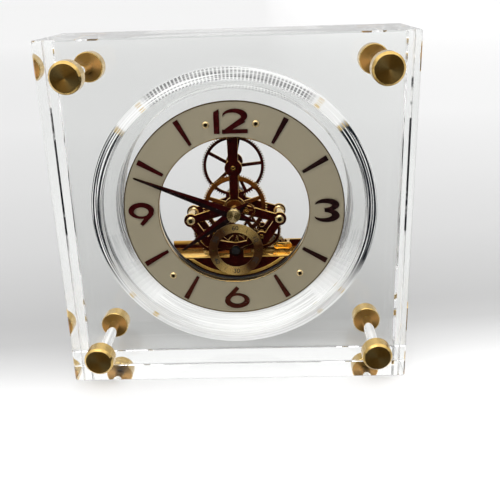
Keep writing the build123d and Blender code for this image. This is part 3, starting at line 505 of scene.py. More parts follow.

# The bored walls, painted reflection: place across a step or wall, then bands, rows of ticks and strength
# round the bore, weakest at the foot, which stays white as painted glow
ACROSS_STEP, ACROSS_WALL = 154.0, 100.0
ACROSS_LIMITS = (11.4, 13.1)
PAINTED_WALL_BANDS = stripes(
    (0.02, 0.04, 0.10, 0.12), (0.19, 0.21, 0.28, 0.30), (0.35, 0.365, 0.40, 0.415),
    (0.45, 0.465, 0.53, 0.545), (0.58, 0.60, 0.64), (0.70, 0.74, 0.92, 0.96),
)
PAINTED_TICK_ROWS = stripes((0.02, 0.06, 0.10), (0.18, 0.22, 0.26), (0.36, 0.41, 0.46))
TICK_COUNT = 232.0
PAINTED_STREAK_STRENGTH = [
    (0.0, 0.8), (0.18, 0.8), (0.205, 0.15), (0.275, 0.15), (0.295, 1.0), (0.62, 1.0),
    (0.70, 0.30), (1.0, 0.12),
]
WALL_WHITE = (1.0, 1.0, 0.995)
PAINTED_STREAK_DARK = (0.010, 0.012, 0.016)
PAINTED_STUD_REFLECTION = (0.60, 0.40, 0.07)

# Turned metal: rings per metre, and how a painted highlight lobe fades
RING_CROWD = 5200.0
PAINTED_SHEEN_STOPS = [(0.55, 0.0), (0.86, 0.45), (1.0, 1.0)]

# Painted shade on burnished faces
PAINTED_SHADE_REACH = 0.06
PAINTED_SHADE_BLACK = (0.006, 0.004, 0.004)
PAINTED_LOW_SHADE = (0.036, 0.008, 0.004)
PAINTED_DOWN_SHADE = (0.045, 0.006, 0.003)


def clear_finish():
    """Polished acrylic with a trace of handling."""
    acrylic = tuple(bpy.context.scene.clock_colours.acrylic)
    look = Finish("clear_acrylic")
    smudge = look.noise(look.place(CENTRE), 22.0)
    look.feed("IOR", ACRYLIC_IOR)
    look.feed("Transmission Weight", 1.0)
    shown = look.ramp(smudge, [(0.35, tint(acrylic, 0.995)), (0.75, acrylic)])
    return look.surface(shown, look.ramp(smudge, [(0.45, 0.0), (1.0, 0.02)]))


def bored_finish(name, clearness=0.12, deep=PAINTED_STREAK_DARK):
    """Bored acrylic whose dark streaks and chatter ticks are painted reflection of the room, fading at the
    foot into white painted glow, with gilt flecks at the diagonals that are painted reflection of the
    studs.
    """
    look = Finish(name)
    times, plus, ramp, mix = look.times, look.plus, look.ramp, look.mix
    look.feed("IOR", ACRYLIC_IOR)
    look.feed("Transmission Weight", clearness)
    parts = look.split(look.place(CENTRE))
    angle = look.angle(parts)
    across = plus(times(look.radius(parts), ACROSS_STEP), times(parts["Y"], ACROSS_WALL))
    broad = look.streaks(angle, across, 1.1, 9.0)
    fine = look.streaks(angle, across, 2.3, 26.0)
    lines = plus(times(broad, 0.7), times(fine, 0.3))
    round_share = look.calc("DIVIDE", look.calc("ABSOLUTE", angle), math.pi)
    band = look.share(plus(across, times(broad, 0.25)), *ACROSS_LIMITS)
    near_top = ramp(round_share, [(0.17, 1.0), (0.21, 0.0)])
    bands = mix(near_top, ramp(band, PAINTED_WALL_BANDS), ramp(band, PAINTED_TICK_ROWS))
    dark = look.calc("MAXIMUM", ramp(lines, [(0.47, 1.0), (0.50, 0.0)]), bands)
    tick = ramp(look.calc("SINE", times(angle, TICK_COUNT)), [(0.0, 1.0), (0.5, 0.25)])
    ticked = mix(near_top, (1.0, 1.0, 1.0), tick)
    # painted reflection: dark streaks and ticks over the white wall, weakest at the foot, whose white is
    # painted glow
    painted_streaks = mix(times(times(dark, ramp(round_share, PAINTED_STREAK_STRENGTH)), ticked), WALL_WHITE, deep)
    # painted reflection: gilt flecks at the four diagonals stand in for the studs mirrored in the walls
    toward_studs = times(look.calc("COSINE", times(angle, 4.0)), -1.0)
    stud_reflection = times(
        ramp(toward_studs, stripes((0.84, 0.87, 0.92, 0.94))), ramp(fine, [(0.46, 0.0), (0.56, 0.85)])
    )
    stud_reflection = times(stud_reflection, ramp(band, stripes((0.0, 0.02, 0.55, 0.57))))
    look.bump(lines, 0.4, 0.0003)
    return look.surface(mix(stud_reflection, painted_streaks, PAINTED_STUD_REFLECTION), ramp(fine, [(0.4, 0.02), (0.9, 0.12)]))


def joint_finish():
    """The broken edges along the slabs' joint: bright, with a dark stretch at half height that is painted
    reflection.
    """
    look = Finish("joint_edge_painted_reflection")
    look.feed("IOR", ACRYLIC_IOR)
    look.feed("Transmission Weight", 0.3)
    place = look.place(CENTRE)
    wave = look.plus(look.times(look.split(place)["Z"], 5.0), look.noise(place, 60.0))
    # painted reflection: a dark stretch across the bright edges
    dark = look.ramp(wave, stripes((0.40, 0.48, 0.78, 0.84)))
    shown = look.mix(dark, (0.98, 0.98, 0.97), (0.012, 0.013, 0.016))
    return look.surface(shown, look.ramp(wave, [(0.4, 0.05), (0.9, 0.15)]))


def metal_finish(name, base, rough, spot=Vector(), grain=PLAIN_GRAIN, turned=False, aniso=0.0,
                 metallic=1.0, painted_bow=None):
    """Metal with an uneven tone, turning rings if turned, and a painted highlight lobe given as (angle,
    colour).
    """
    look = Finish(name)
    look.feed("Metallic", metallic)
    place = look.place(spot)
    tone = look.noise(place, grain)
    shown = look.varied(base, tone, METAL_SPREAD)
    if painted_bow:
        # painted highlight: a lighter lobe across the face, fixed to the metal
        way, painted_sheen = painted_bow
        off = look.calc("SUBTRACT", look.angle(look.split(place)), way)
        lobe = look.calc("ABSOLUTE", look.calc("COSINE", off))
        shown = look.mix(look.ramp(lobe, PAINTED_SHEEN_STOPS), shown, painted_sheen)
    if turned:
        parts = look.split(place)
        along = look.times(look.plus(look.radius(parts), parts["Y"]), RING_CROWD)
        rings = look.add("TexNoise", {"W": along, "Scale": 1.0, "Detail": 1.0}, noise_dimensions="1D")
        look.bump(rings.outputs["Fac"], 0.25, 0.00006)
    if aniso:
        tangent = look.add("Tangent", direction_type="RADIAL", axis="Y")
        look.feed("Anisotropic", aniso)
        look.feed("Tangent", tangent.outputs[0])
        look.feed("Anisotropic Rotation", 0.25)
    return look.surface(shown, look.ramp(tone, [(0.2, rough * 0.9), (0.8, rough * 1.1)]))


def faced_finish(name, face, edge, rough, limits=(0.88, 0.97), metallic=1.0, painted_shades=None):
    """Faces towards the front darkened, partly burnished polish and partly painted reflection of the dark
    room in front, with painted shade where asked, and bright bevels and sides.
    """
    look = Finish(name)
    look.feed("Metallic", metallic)
    look.feed("Specular IOR Level", 0.02)
    place = look.place(CENTRE)
    tone = look.noise(place, FACE_GRAIN)
    normal = look.add("NewGeometry").outputs["Normal"]
    facing = look.vector("DOT_PRODUCT", {0: normal, 1: FRONT}, "Value")
    dark = look.ramp(tone, [(0.3, tint(face, 0.8)), (0.7, tint(face, 1.25))])
    # painted shade: the right side goes near black and the foot dark red, standing in for the dark room
    # mirrored in the marks
    if painted_shades == "across":
        parts = look.split(place)
        side = look.share(parts["X"], -PAINTED_SHADE_REACH, PAINTED_SHADE_REACH)
        low = look.share(parts["Z"], -PAINTED_SHADE_REACH, PAINTED_SHADE_REACH)
        dark = look.mix(look.ramp(side, [(0.55, 0.0), (0.8, 0.8)]), dark, PAINTED_SHADE_BLACK)
        dark = look.mix(look.ramp(low, [(0.08, 0.9), (0.3, 0.0)]), dark, PAINTED_LOW_SHADE)
    # painted shade: facets that face down go near black
    if painted_shades == "facets":
        upward = look.split(normal)["Z"]
        dark = look.mix(look.ramp(upward, [(0.0, 0.9), (0.12, 0.0)]), dark, PAINTED_SHADE_BLACK)
    # painted shade: darker towards the bottom, broken by noise
    if painted_shades == "down":
        uneven = look.plus(look.times(look.split(place)["Z"], 22.0), look.noise(place, 95.0))
        dark = look.mix(look.ramp(uneven, [(0.45, 0.92), (0.85, 0.0)]), dark, PAINTED_DOWN_SHADE)
    # painted reflection: faces turned to the front take the dark colour, bevels and sides the bright one
    shown = look.mix(look.ramp(facing, [(limits[0], 0.0), (limits[1], 1.0)]), edge, dark)
    return look.surface(shown, look.ramp(tone, [(0.2, rough * 0.7), (0.8, rough * 1.3)]))


def plastic_finish(name, base, rough, specular=None):
    """Moulded or printed plastic with a fine grain."""
    look = Finish(name)
    tone = look.noise(look.place(), PLAIN_GRAIN)
    look.bump(tone, 0.15, 0.00005)
    if specular is not None:
        look.feed("Specular IOR Level", specular)
    grained = look.ramp(tone, [(0.2, rough * 0.85), (0.8, rough * 1.2)])
    return look.surface(look.varied(base, tone, PLASTIC_SPREAD), grained)


def layered_finish(base):
    """Stacked sheet iron, with a fine dark line between the sheets."""
    sheet_thick = 0.4 * MM
    look = Finish("stacked_sheets")
    look.feed("Metallic", 1.0)
    place = look.place()
    wave = look.calc("SINE", look.times(look.split(place)["Y"], FULL_TURN / sheet_thick))
    shown = look.ramp(wave, [(0.0, tint(base, 0.75)), (0.8, tint(base, 0.65)), (0.95, tint(base, 0.2))])
    return look.surface(shown, look.ramp(look.noise(place, 400.0), [(0.2, 0.22), (0.8, 0.34)]))


def wrap_finish(palette):
    """A plain printed wrap with one pale band."""
    look = Finish("battery_wrap")
    low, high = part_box("battery")
    place = look.place(low)
    along = look.calc("DIVIDE", look.split(place)["X"], high.x - low.x)
    tone = look.noise(place, 700.0)
    pale = look.ramp(along, stripes((0.70, 0.703, 0.735, 0.738)))
    shown = look.mix(pale, look.varied(palette.wrap, tone, 0.15), tint(palette.nickel, 0.7))
    return look.surface(shown, look.ramp(tone, [(0.2, 0.25), (0.8, 0.36)]))


# Pieces


class CLOCK_OT_camera(Operator):
    """Place the camera at the photograph's angle"""

    bl_idname = "clock.camera"
    bl_label = "Camera"

    def execute(self, context):
        spot = Vector((20.783, -407.49, 226.646)) * MM
        pitch, yaw, roll = 0.3611, 0.0305, -0.0319
        lens, sensor, nearest = 50.38, 36.0, 0.01
        forward = Vector((
            -math.sin(yaw) * math.cos(pitch), math.cos(yaw) * math.cos(pitch), -math.sin(pitch)
        ))
        level = Vector((math.cos(yaw), math.sin(yaw), 0))
        upright = Vector((
            -math.sin(yaw) * math.sin(pitch), math.cos(yaw) * math.sin(pitch), math.cos(pitch)
        ))
        right = math.cos(roll) * level + math.sin(roll) * upright
        up = -math.sin(roll) * level + math.cos(roll) * upright
        turn = Matrix((right, up, -forward)).transposed().to_4x4()
        data = bpy.data.cameras.new("camera")
        data.sensor_width = sensor
        data.lens = lens
        data.clip_start = nearest
        camera = bpy.data.objects.new("camera", data)
        camera.matrix_world = Matrix.Translation(spot) @ turn
        context.scene.collection.objects.link(camera)
        context.scene.camera = camera
        return {"FINISHED"}


FLOOR_RADIUS, FLOOR_DROP, FLOOR_STEPS = 90.0, 0.0003, 96
FLOOR_SLANT = 0.105
# Painted shade on the floor: darker just behind the clock and towards the left, standing in for the
# clock's shade and the light's falloff
FLOOR_PAINTED_SHADE_LEVELS = [
    (0.0200, 1.03), (0.0300, 0.80), (0.0420, 0.57), (0.0526, 0.52), (0.0639, 0.55), (0.103, 0.64),
    (0.179, 0.74), (0.3135, 0.86), (0.79, 0.97), (1.0, 1.03),
]
MIRROR_LEVELS = [(0.016, 0.006), (0.020, 1.0), (0.030, 0.88), (0.060, 0.74), (0.30, 0.76), (1.0, 0.92)]
SIDE_PAINTED_SHADE_LEVELS = [(0.18, 0.87), (0.26, 0.93), (0.46, 0.98), (0.80, 1.0)]
SIDE_GAIN = 1.15
SKY_LEVELS = [(0.0, 0.55), (0.35, 0.63), (0.75, 1.02), (1.0, 1.12)]
ROOM_COLOURS = [
    (0.0, (0.03, 0.02, 0.018)), (0.22, (0.05, 0.045, 0.04)), (0.36, (0.8, 0.8, 0.82)),
    (0.72, (0.86, 0.86, 0.86)), (1.0, (0.80, 0.80, 0.80)),
]
ROOM_TOP = (1.6, 1.6, 1.6)
BACKDROP = (0.87, 0.87, 0.87)
LAMP_SPOT, LAMP_SIZE, LAMP_POWER = Vector((-0.30, -1.05, 0.95)), 1.7, 11.0
CLEAR_BOUNCES, GLOSSY_BOUNCES = 28, 10


def lay_floor(context):
    mesh = bmesh.new()
    bmesh.ops.create_circle(mesh, cap_ends=True, segments=FLOOR_STEPS, radius=FLOOR_RADIUS)
    bmesh.ops.translate(mesh, vec=(0, 0, -FLOOR_DROP), verts=mesh.verts)
    floor = as_object("floor", mesh)
    look = Finish("pale_floor_painted_shade")
    base = tuple(context.scene.clock_colours.floor)
    parts = look.split(look.place())
    back = look.calc("SUBTRACT", parts["Y"], look.times(parts["X"], FLOOR_SLANT))
    share = look.share(back, -0.1, 3.0)
    plain, distant = [
        look.ramp(share, [(at, tint(base, level)) for at, level in levels])
        for levels in (FLOOR_PAINTED_SHADE_LEVELS, MIRROR_LEVELS)
    ]
    # painted shade: darker towards the left
    side_painted_shade = look.ramp(look.share(parts["X"], -0.2, 1.0), SIDE_PAINTED_SHADE_LEVELS)
    side_painted_shade = look.vector("SCALE", {0: side_painted_shade, "Scale": SIDE_GAIN})
    plain = look.vector("MULTIPLY", {0: plain, 1: side_painted_shade})
    mirrored = look.mirrored(look.add("LightPath"))
    look.feed("Specular IOR Level", look.times(look.calc("SUBTRACT", 1.0, mirrored), 0.2))
    floor.data.materials.append(look.surface(look.mix(mirrored, plain, distant), 0.6))


def light_world(context):
    world = bpy.data.worlds.new("studio")
    world.use_nodes = True
    graph = Graph(world.node_tree)
    parts = graph.split(graph.add("TexCoord").outputs["Generated"])
    soft = graph.ramp(parts["Z"], SKY_LEVELS)
    room = graph.ramp(graph.share(parts["Y"], -1.0, 1.0), ROOM_COLOURS)
    room = graph.mix(graph.ramp(parts["Z"], [(0.45, 0.0), (0.70, 1.0)]), room, ROOM_TOP)
    path = graph.add("LightPath")
    lit = graph.mix(graph.mirrored(path), soft, room)
    background = world.node_tree.nodes["Background"]
    graph.link(graph.mix(path.outputs["Is Camera Ray"], lit, BACKDROP), background.inputs["Color"])
    graph.link(1.0, background.inputs["Strength"])
    context.scene.world = world


def hang_lamp(context):
    data = bpy.data.lights.new("key", "AREA")
    data.shape = "DISK"
    data.size = LAMP_SIZE
    data.energy = LAMP_POWER
    lamp = bpy.data.objects.new("key", data)
    lamp.location = LAMP_SPOT
    lamp.rotation_euler = (CENTRE - LAMP_SPOT).to_track_quat("-Z", "Y").to_euler()
    context.scene.collection.objects.link(lamp)


class CLOCK_OT_stage(Operator):
    """Lay the pale floor and set the soft light"""

    bl_idname = "clock.stage"
    bl_label = "Stage"

    def execute(self, context):
        lay_floor(context)
        light_world(context)
        hang_lamp(context)
        scene = context.scene
        scene.view_settings.view_transform = "Standard"
        scene.cycles.max_bounces = CLEAR_BOUNCES
        scene.cycles.transmission_bounces = CLEAR_BOUNCES
        scene.cycles.glossy_bounces = GLOSSY_BOUNCES
        return {"FINISHED"}


STUD_RADIUS, STUD_REACH, STUD_STEPS = 3.0 * MM, 0.05, 64
CORNER_ANGLE = 60
RIDGE_PITCH = 0.7 * MM
# Painted glow: the carrier disc's face turns whiter and less clear in grades towards the foot, from just
# below half height
GLOW_HAZE_GRADES, GLOW_HAZE_START, GLOW_HAZE_STEP = 14, 1.80, 0.045
GLOW_HAZE_MARGIN = 8.0 * MM
GLOW_HAZE_STREAK = (0.80, 0.81, 0.82)
JOINT_REACH = 0.09


def slab(name, near, far, outer_face, sizes):
    low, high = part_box("front_slab")
    mesh = bmesh.new()
    block(mesh, Vector((low.x, near, low.z)), Vector((high.x, far, high.z)))
    close_up(mesh)
    outer = [e for e in mesh.edges if all(abs(v.co.y - outer_face) < SOLID_WELD for v in e.verts)]
    bevel_edges(mesh, outer, sizes.edge_break)
    bevel_edges(mesh, sharp_edges(mesh, CORNER_ANGLE), sizes.corner_break)
    return as_object(name + "_clear", mesh)


def cutter(radius, near, far, spot, steps, ridge=0.0, seat=None):
    """A turning cutter; a ridge leaves the tool's uneven rings on the wall, a seat widens its mouth."""
    wall = [(radius, near), (radius, far)]
    if ridge:
        count = int((far - near) / RIDGE_PITCH)
        waves = [0.5 + 0.5 * math.sin(step * 2.4 + 1.3 * math.sin(step * 0.7)) for step in range(count)]
        wall[1:1] = [
            (radius - ridge * wave, near + (far - near) * (step + 0.5) / count)
            for step, wave in enumerate(waves)
        ]
    if seat:
        wide, start = seat
        wall = [row for row in wall if row[1] < start - 0.1 * MM]
        wall += [(radius, start), (wide, start), (wide, far)]
    return turn_piece("cutter", [(0, near)] + wall + [(0, far)], spot, steps)


def stud_cutters(sizes):
    reach = half_width(*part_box("clamp_studs")) - STUD_RADIUS
    spots = [Vector((sx * reach, 0, CENTRE.z + sz * reach)) for sx in (-1, 1) for sz in (1, -1)]
    return [cutter(sizes.stud_hole, -STUD_REACH, STUD_REACH, spot, STUD_STEPS) for spot in spots]


def disc(sizes, clear, bored):
    """The carrier disc; the haze on its front grows from just below half height towards the foot, a
    painted glow in the lower ring.
    """
    low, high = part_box("carrier_disc")
    near, far = low.y + sizes.joint_gap, high.y - sizes.joint_gap
    hazed = sizes.rear_bore - GLOW_HAZE_MARGIN
    steps = [sizes.carrier_hole, hazed, sizes.rear_bore + MM, sizes.hollow_radius, half_width(low, high)]
    ring = [(radius, near) for radius in steps] + [(radius, far) for radius in reversed(steps)]
    piece = turn_piece("carrier_disc_clear", ring, CENTRE, sizes.bore_steps, closed=True)
    glow_hazes = [
        bored_finish(f"hazed_acrylic_painted_glow_{grade}", 0.99 - 0.85 * grade / GLOW_HAZE_GRADES, GLOW_HAZE_STREAK)
        for grade in range(GLOW_HAZE_GRADES)
    ]
    dress(piece, "case", (clear, bored, *glow_hazes), ("carrier_disc",))
    mark_bores(piece, sizes)
    # painted glow: front faces further round towards the foot take the whiter grades
    for face in piece.data.polygons:
        off = face.center - CENTRE
        if face.normal.y < -0.9 and off_axis(face.center, CENTRE) > hazed:
            grade = int((abs(math.atan2(off.x, off.z)) - GLOW_HAZE_START) / GLOW_HAZE_STEP)
            face.material_index = 0 if grade < 0 else 1 if grade >= GLOW_HAZE_GRADES else 2 + grade
    return piece


def mark_bores(piece, sizes):
    """Bored walls and the turned step of the seat take the finish with painted reflection streaks, joint
    edges their own.
    """
    for face in piece.data.polygons:
        depth = face.center.y - CENTRE.y
        reach = off_axis(face.center, CENTRE)
        wall = abs(face.normal.y) < 0.3 and reach < sizes.seat_radius + 0.5 * MM
        step = (
            abs(depth + sizes.seat_depth) < 0.1 * MM and face.normal.y > 0.9
            and sizes.hollow_radius - 0.5 * MM < reach < sizes.seat_radius
        )
        joint = abs(depth) < 0.9 * MM and 0.3 < abs(face.normal.x) < 0.95 and reach > JOINT_REACH
        face.material_index = 2 if joint else int(wall or step)


class CLOCK_OT_slabs(Operator):
    """Make the two clear slabs and the carrier disc between them"""

    bl_idname = "clock.slabs"
    bl_label = "Slabs"

    def execute(self, context):
        sizes = context.scene.clock_slabs
        clear, bored, joint = clear_finish(), bored_finish("bored_acrylic_painted_reflection"), joint_finish()
        gap, facets, ridge = sizes.joint_gap, sizes.bore_steps, sizes.ridge
        front_face, back_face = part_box("front_slab")[0].y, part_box("rear_slab")[1].y
        front = slab("front_slab", front_face, -gap, front_face, sizes)
        seat = (sizes.seat_radius, -sizes.seat_depth)
        hollow = cutter(sizes.hollow_radius, -sizes.window_back, MM, CENTRE, facets, ridge, seat)
        carve(front, [hollow, *stud_cutters(sizes)])
        rear = slab("rear_slab", gap, back_face, back_face, sizes)
        bore = cutter(sizes.rear_bore, -MM, back_face + MM, CENTRE, facets, ridge)
        carve(rear, [bore, *stud_cutters(sizes)])
        for piece, node in ((front, "front_slab"), (rear, "rear_slab")):
            dress(piece, "case", (clear, bored, joint), (node,))
            mark_bores(piece, sizes)
        for piece in (front, rear, disc(sizes, clear, bored)):
            piece.visible_shadow = False
        return {"FINISHED"}


KNOB_DIMPLE = ((0, 0.00012), (0.0009, 0.00004), (0.0012, 0))
KNOB_SHADE_ANGLE = 20
KNOB_SEAT_PAINTED_SHEEN = (1.0, 0.71, 0.26)
THREAD_PITCH, THREAD_DEPTH, THREAD_STEPS = 0.8 * MM, 0.22 * MM, 40


def cut_studs(finish):
    """Four studs, threaded from end to end."""
    pitch = THREAD_PITCH
    mesh = bmesh.new()
    for low, high in islands("clamp_studs"):
        radius = half_width(low, high)
        root = radius - THREAD_DEPTH
        point = root - THREAD_DEPTH
        thread = []
        for turn in range(int((high.y - low.y - 2 * pitch) / pitch)):
            start = low.y + pitch + turn * pitch
            thread += [(root, start), (radius, start + 0.4 * pitch), (radius, start + 0.6 * pitch)]
        thread.append((root, thread[-1][1] + 0.4 * pitch))
        profile = [(0, low.y), (point, low.y)] + thread + [(point, high.y), (0, high.y)]
        lathe(mesh, profile, axis_spot(low, high), THREAD_STEPS)
    close_up(mesh)
    piece = as_object("clamp_studs_threaded", mesh, BEVEL_ANGLE)
    dress(piece, "case", (finish,), ("clamp_studs",))


def knob(context, name, node, spot, radius, outer, inner):
    """A knob between its outer face, which is dimpled, darkened as painted shade and has a bright bevel,
    and the slab.
    """
    sizes = context.scene.clock_knobs
    palette = context.scene.clock_colours
    way = 1 if inner > outer else -1
    bevel, face, wall = sizes.rim_bevel, radius - sizes.rim_bevel, outer + way * sizes.end_wall
    profile = [(out, outer + way * deep) for out, deep in KNOB_DIMPLE] + [
        (face, outer),
        (face + bevel * 0.16, outer + way * bevel * 0.06),
        (radius - bevel * 0.12, outer + way * bevel * 0.86),
        (radius, outer + way * bevel * 1.05),
        (radius, inner - way * sizes.back_bevel),
        (radius - sizes.back_bevel, inner),
        (sizes.thread_radius, inner),
        (sizes.thread_radius, wall),
        (0, wall),
    ]
    piece = turn_piece(name + "_turned", profile, spot, sizes.steps, sharp=KNOB_SHADE_ANGLE)
    side = metal_finish(name + "_brass", palette.brass, 0.17, spot, turned=True, aniso=0.4, metallic=0.95)
    # painted shade on the outer face and painted highlight lobes on the outer and seat faces
    dark = metal_finish(name + "_face", palette.knob_face, 0.22, spot, turned=True, aniso=0.9,
                        metallic=0.85, painted_bow=(2.2, tint(palette.brass, 0.5)))
    seat = metal_finish(name + "_seat", palette.knob_seat, 0.3, spot, turned=True, aniso=0.85,
                        metallic=0.5, painted_bow=(1.3, KNOB_SEAT_PAINTED_SHEEN))
    dress(piece, body_of(node), (side, dark, seat), (node,))
    for polygon in piece.data.polygons:
        if abs(polygon.normal.y) > 0.99:
            polygon.material_index = 1 if abs(polygon.center.y - outer) < 0.2 * MM else 2


class CLOCK_OT_thumb_knobs(Operator):
    """Turn the eight thumb knobs and the four studs"""

    bl_idname = "clock.thumb_knobs"
    bl_label = "Thumb knobs"

    def execute(self, context):
        for number in range(1, 5):
            node = f"front_knob_{number}"
            low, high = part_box(node)
            radius = half_width(low, high)
            knob(context, node, node, axis_spot(low, high), radius, low.y, high.y)
        low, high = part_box("rear_knobs")
        middle = axis_spot(low, high)
        for number, (sx, sz) in enumerate(((-1, 1), (-1, -1), (1, 1), (1, -1)), start=1):
            off = Vector((sx * (high.x - middle.x - radius), 0, sz * (high.z - middle.z - radius)))
            knob(context, f"rear_knob_{number}", "rear_knobs", middle + off, radius, high.y, low.y)
        cut_studs(metal_finish("stud_brass", context.scene.clock_colours.brass, 0.3))
        return {"FINISHED"}


DIAL_OPENING, RING_BORE = 45.0 * MM, 45.2 * MM
RING_STEP, RING_GROOVE = 0.25 * MM, 0.5 * MM
RIM_FALL = 0.0002
DIAL_STEPS = 256


def turn_rims(outer, inner, gold, bronze):
    """A bronze rim outside the dial and a gold one inside it."""
    low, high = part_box("dial_rims")
    mesh = bmesh.new()
    rim = half_width(low, high) - outer
    shoulder = low.y + RIM_FALL
    crest = ((0, high.y), (0, shoulder), (0.3, low.y), (0.7, low.y), (1, shoulder), (1, high.y))
    for start in (outer, inner - rim):
        lathe(mesh, [(start + rim * out, depth) for out, depth in crest], CENTRE, DIAL_STEPS, closed=True)
    close_up(mesh)
    piece = dress(as_object("dial_rims_gilt", mesh), "case", (gold, bronze), ("dial_rims",))
    for face in piece.data.polygons:
        face.material_index = int(off_axis(face.center, CENTRE) > (inner + outer) / 2)


def turn_ring(palette, gold):
    """The movement ring: a satin wall in steps, its front part darker as painted shade, a groove painted
    black as shade and a gold lip at the back.
    """
    low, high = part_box("movement_ring")
    outer, bore, deep = half_width(low, high), RING_BORE, high.y - low.y
    step, groove = bore + RING_STEP, bore + RING_GROOVE
    profile = [
        (bore, 0.0), (bore, 0.42), (step, 0.44), (step, 0.66), (groove, 0.68), (groove, 0.76),
        (bore, 0.78), (bore, 0.86), (bore, 0.88), (bore, 1.0), (outer, 1.0), (outer, 0.0),
    ]
    profile = [(radius, low.y + share * deep) for radius, share in profile]
    piece = turn_piece("movement_ring_turned", profile, CENTRE, DIAL_STEPS, closed=True)
    # painted shade: the front of the wall dark, the groove black
    painted_shade_wall = metal_finish("ring_painted_shade", tint(palette.silver, 0.3), 0.4, CENTRE)
    silver = metal_finish("satin_silver", palette.silver, 0.35, CENTRE)
    pitch = plastic_finish("ring_groove_painted_shade", palette.black, 0.4)
    dress(piece, "case", (painted_shade_wall, silver, pitch, gold), ("movement_ring",))
    for face in piece.data.polygons:
        share = (face.center.y - low.y) / deep
        face.material_index = 0 if share < 0.43 else 1 if share < 0.67 else 2 if share < 0.99 else 3


class CLOCK_OT_dial(Operator):
    """Make the dial ring with its rims, screws and applied marks"""

    bl_idname = "clock.dial"
    bl_label = "Dial"

    def execute(self, context):
        palette = context.scene.clock_colours
        rim_gold = metal_finish("rim_gold", palette.rim, 0.16)
        satin = metal_finish("satin_dial", palette.dial, 0.42, CENTRE, grain=1400.0, metallic=0.12)
        low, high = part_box("dial_plate")
        outer, inner = half_width(low, high), DIAL_OPENING
        plate = [(inner, low.y), (outer, low.y), (outer, high.y), (inner, high.y)]
        piece = turn_piece("dial_plate_satin", plate, CENTRE, DIAL_STEPS, closed=True)
        dress(piece, "case", (satin,), ("dial_plate",))
        turn_rims(outer, inner, rim_gold, metal_finish("rim_bronze", tint(palette.gold, 0.12), 0.3))
        # painted shade: burnished marks darkened to the right and at the foot
        marks = faced_finish("burnished_marks_painted_shade", palette.marks, tint(palette.marks, 0.5), 0.3,
                             metallic=0.0, painted_shades="across")
        bevelled_copy("numerals", 0.08, marks)
        bevelled_copy("hour_batons", 0.08, marks)
        turn_ring(palette, rim_gold)
        trim = faced_finish("trim_gold", tint(palette.gold, 0.6), tint(palette.gold, 1.1), 0.2,
                            metallic=0.6)
        bevelled_copy("segment_trim", 0.15, trim)
        head = metal_finish("screw_gold", palette.pillar, 0.16, metallic=0.75)
        # painted shade: near black for the screws' dished middles
        painted_shade_well = metal_finish("screw_well", tint(palette.gold, 0.05), 0.3)
        turn_screws("dial_screws", head, painted_shade_well, 0.9 * MM, 0.8 * MM, 1.35)
        return {"FINISHED"}


CAP_BEVEL, CAP_BORE, CAP_WALL, CAP_STEPS = 0.0004, 0.00135, 0.001, 96
CAP_PAINTED_SHEEN = (0.95, 0.72, 0.34)
BLADE_BEVEL, BLADE_SHADE_ANGLE = 0.06 * MM, 3


def blade(node, reach, tail, width, angle, sizes, finish):
    """A flat hand whose front rises in facets to a point over the pivot."""
    low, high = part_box(node)
    tip, half = sizes.tip_width / 2, width / 2
    corners = ((0, reach), (tip, reach - tip), (half, 0), (0, -tail), (-half, 0), (-tip, reach - tip))
    mesh = bmesh.new()
    base = mesh.faces.new([mesh.verts.new((across, high.y, up)) for across, up in corners])
    lifted = bmesh.ops.extrude_face_region(mesh, geom=[base])["geom"]
    tops = [v for v in lifted if isinstance(v, bmesh.types.BMVert)]
    bmesh.ops.translate(mesh, vec=(0, -sizes.edge_thick, 0), verts=tops)
    upper = [f for f in lifted if isinstance(f, bmesh.types.BMFace)]
    for vert in bmesh.ops.poke(mesh, faces=upper)["verts"]:
        vert.co = Vector((0, low.y, 0))
    turn = Matrix.Rotation(math.radians(angle), 4, ALONG_Y)
    bmesh.ops.transform(mesh, matrix=Matrix.Translation(CENTRE) @ turn, verts=mesh.verts)
    close_up(mesh)
    bevel_edges(mesh, sharp_edges(mesh), BLADE_BEVEL)
    piece = as_object(node + "_blade", mesh, BLADE_SHADE_ANGLE)
    dress(piece, body_of(node), (finish,), (node,))


class CLOCK_OT_hands(Operator):
    """Shape the hour and minute hands and the cap"""

    bl_idname = "clock.hands"
    bl_label = "Hands"

    def execute(self, context):
        sizes = context.scene.clock_hands
        palette = context.scene.clock_colours
        # painted shade: the hands' downward facets near black
        finish = faced_finish("burnished_hands_painted_shade", palette.marks, tint(palette.gold, 0.14), 0.22,
                              limits=(0.4, 0.75), metallic=0.3, painted_shades="facets")
        for hand in ("minute", "hour"):
            reach, tail, width, angle = [
                getattr(sizes, f"{hand}_{size}") for size in ("reach", "tail", "width", "angle")
            ]
            blade(hand + "_hand", reach, tail, width, angle, sizes, finish)
        low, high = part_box("hand_cap")
        radius, floor = half_width(low, high), low.y + CAP_WALL
        profile = [
            (0, low.y), (radius - CAP_BEVEL, low.y), (radius, low.y + CAP_BEVEL), (radius, high.y),
            (CAP_BORE, high.y), (CAP_BORE, floor), (0, floor),
        ]
        # painted highlight: a lighter lobe across the cap
        turned = metal_finish("cap_brass", tint(palette.brass, 0.4), 0.2, CENTRE, turned=True, aniso=0.85,
                              metallic=0.85, painted_bow=(0.25, CAP_PAINTED_SHEEN))
        piece = turn_piece("hand_cap_turned", profile, CENTRE, CAP_STEPS)
        dress(piece, "minute", (turned,), ("hand_cap",))
        keep("minute_shaft", metal_finish("shaft_brass", palette.gold, 0.18))
        return {"FINISHED"}


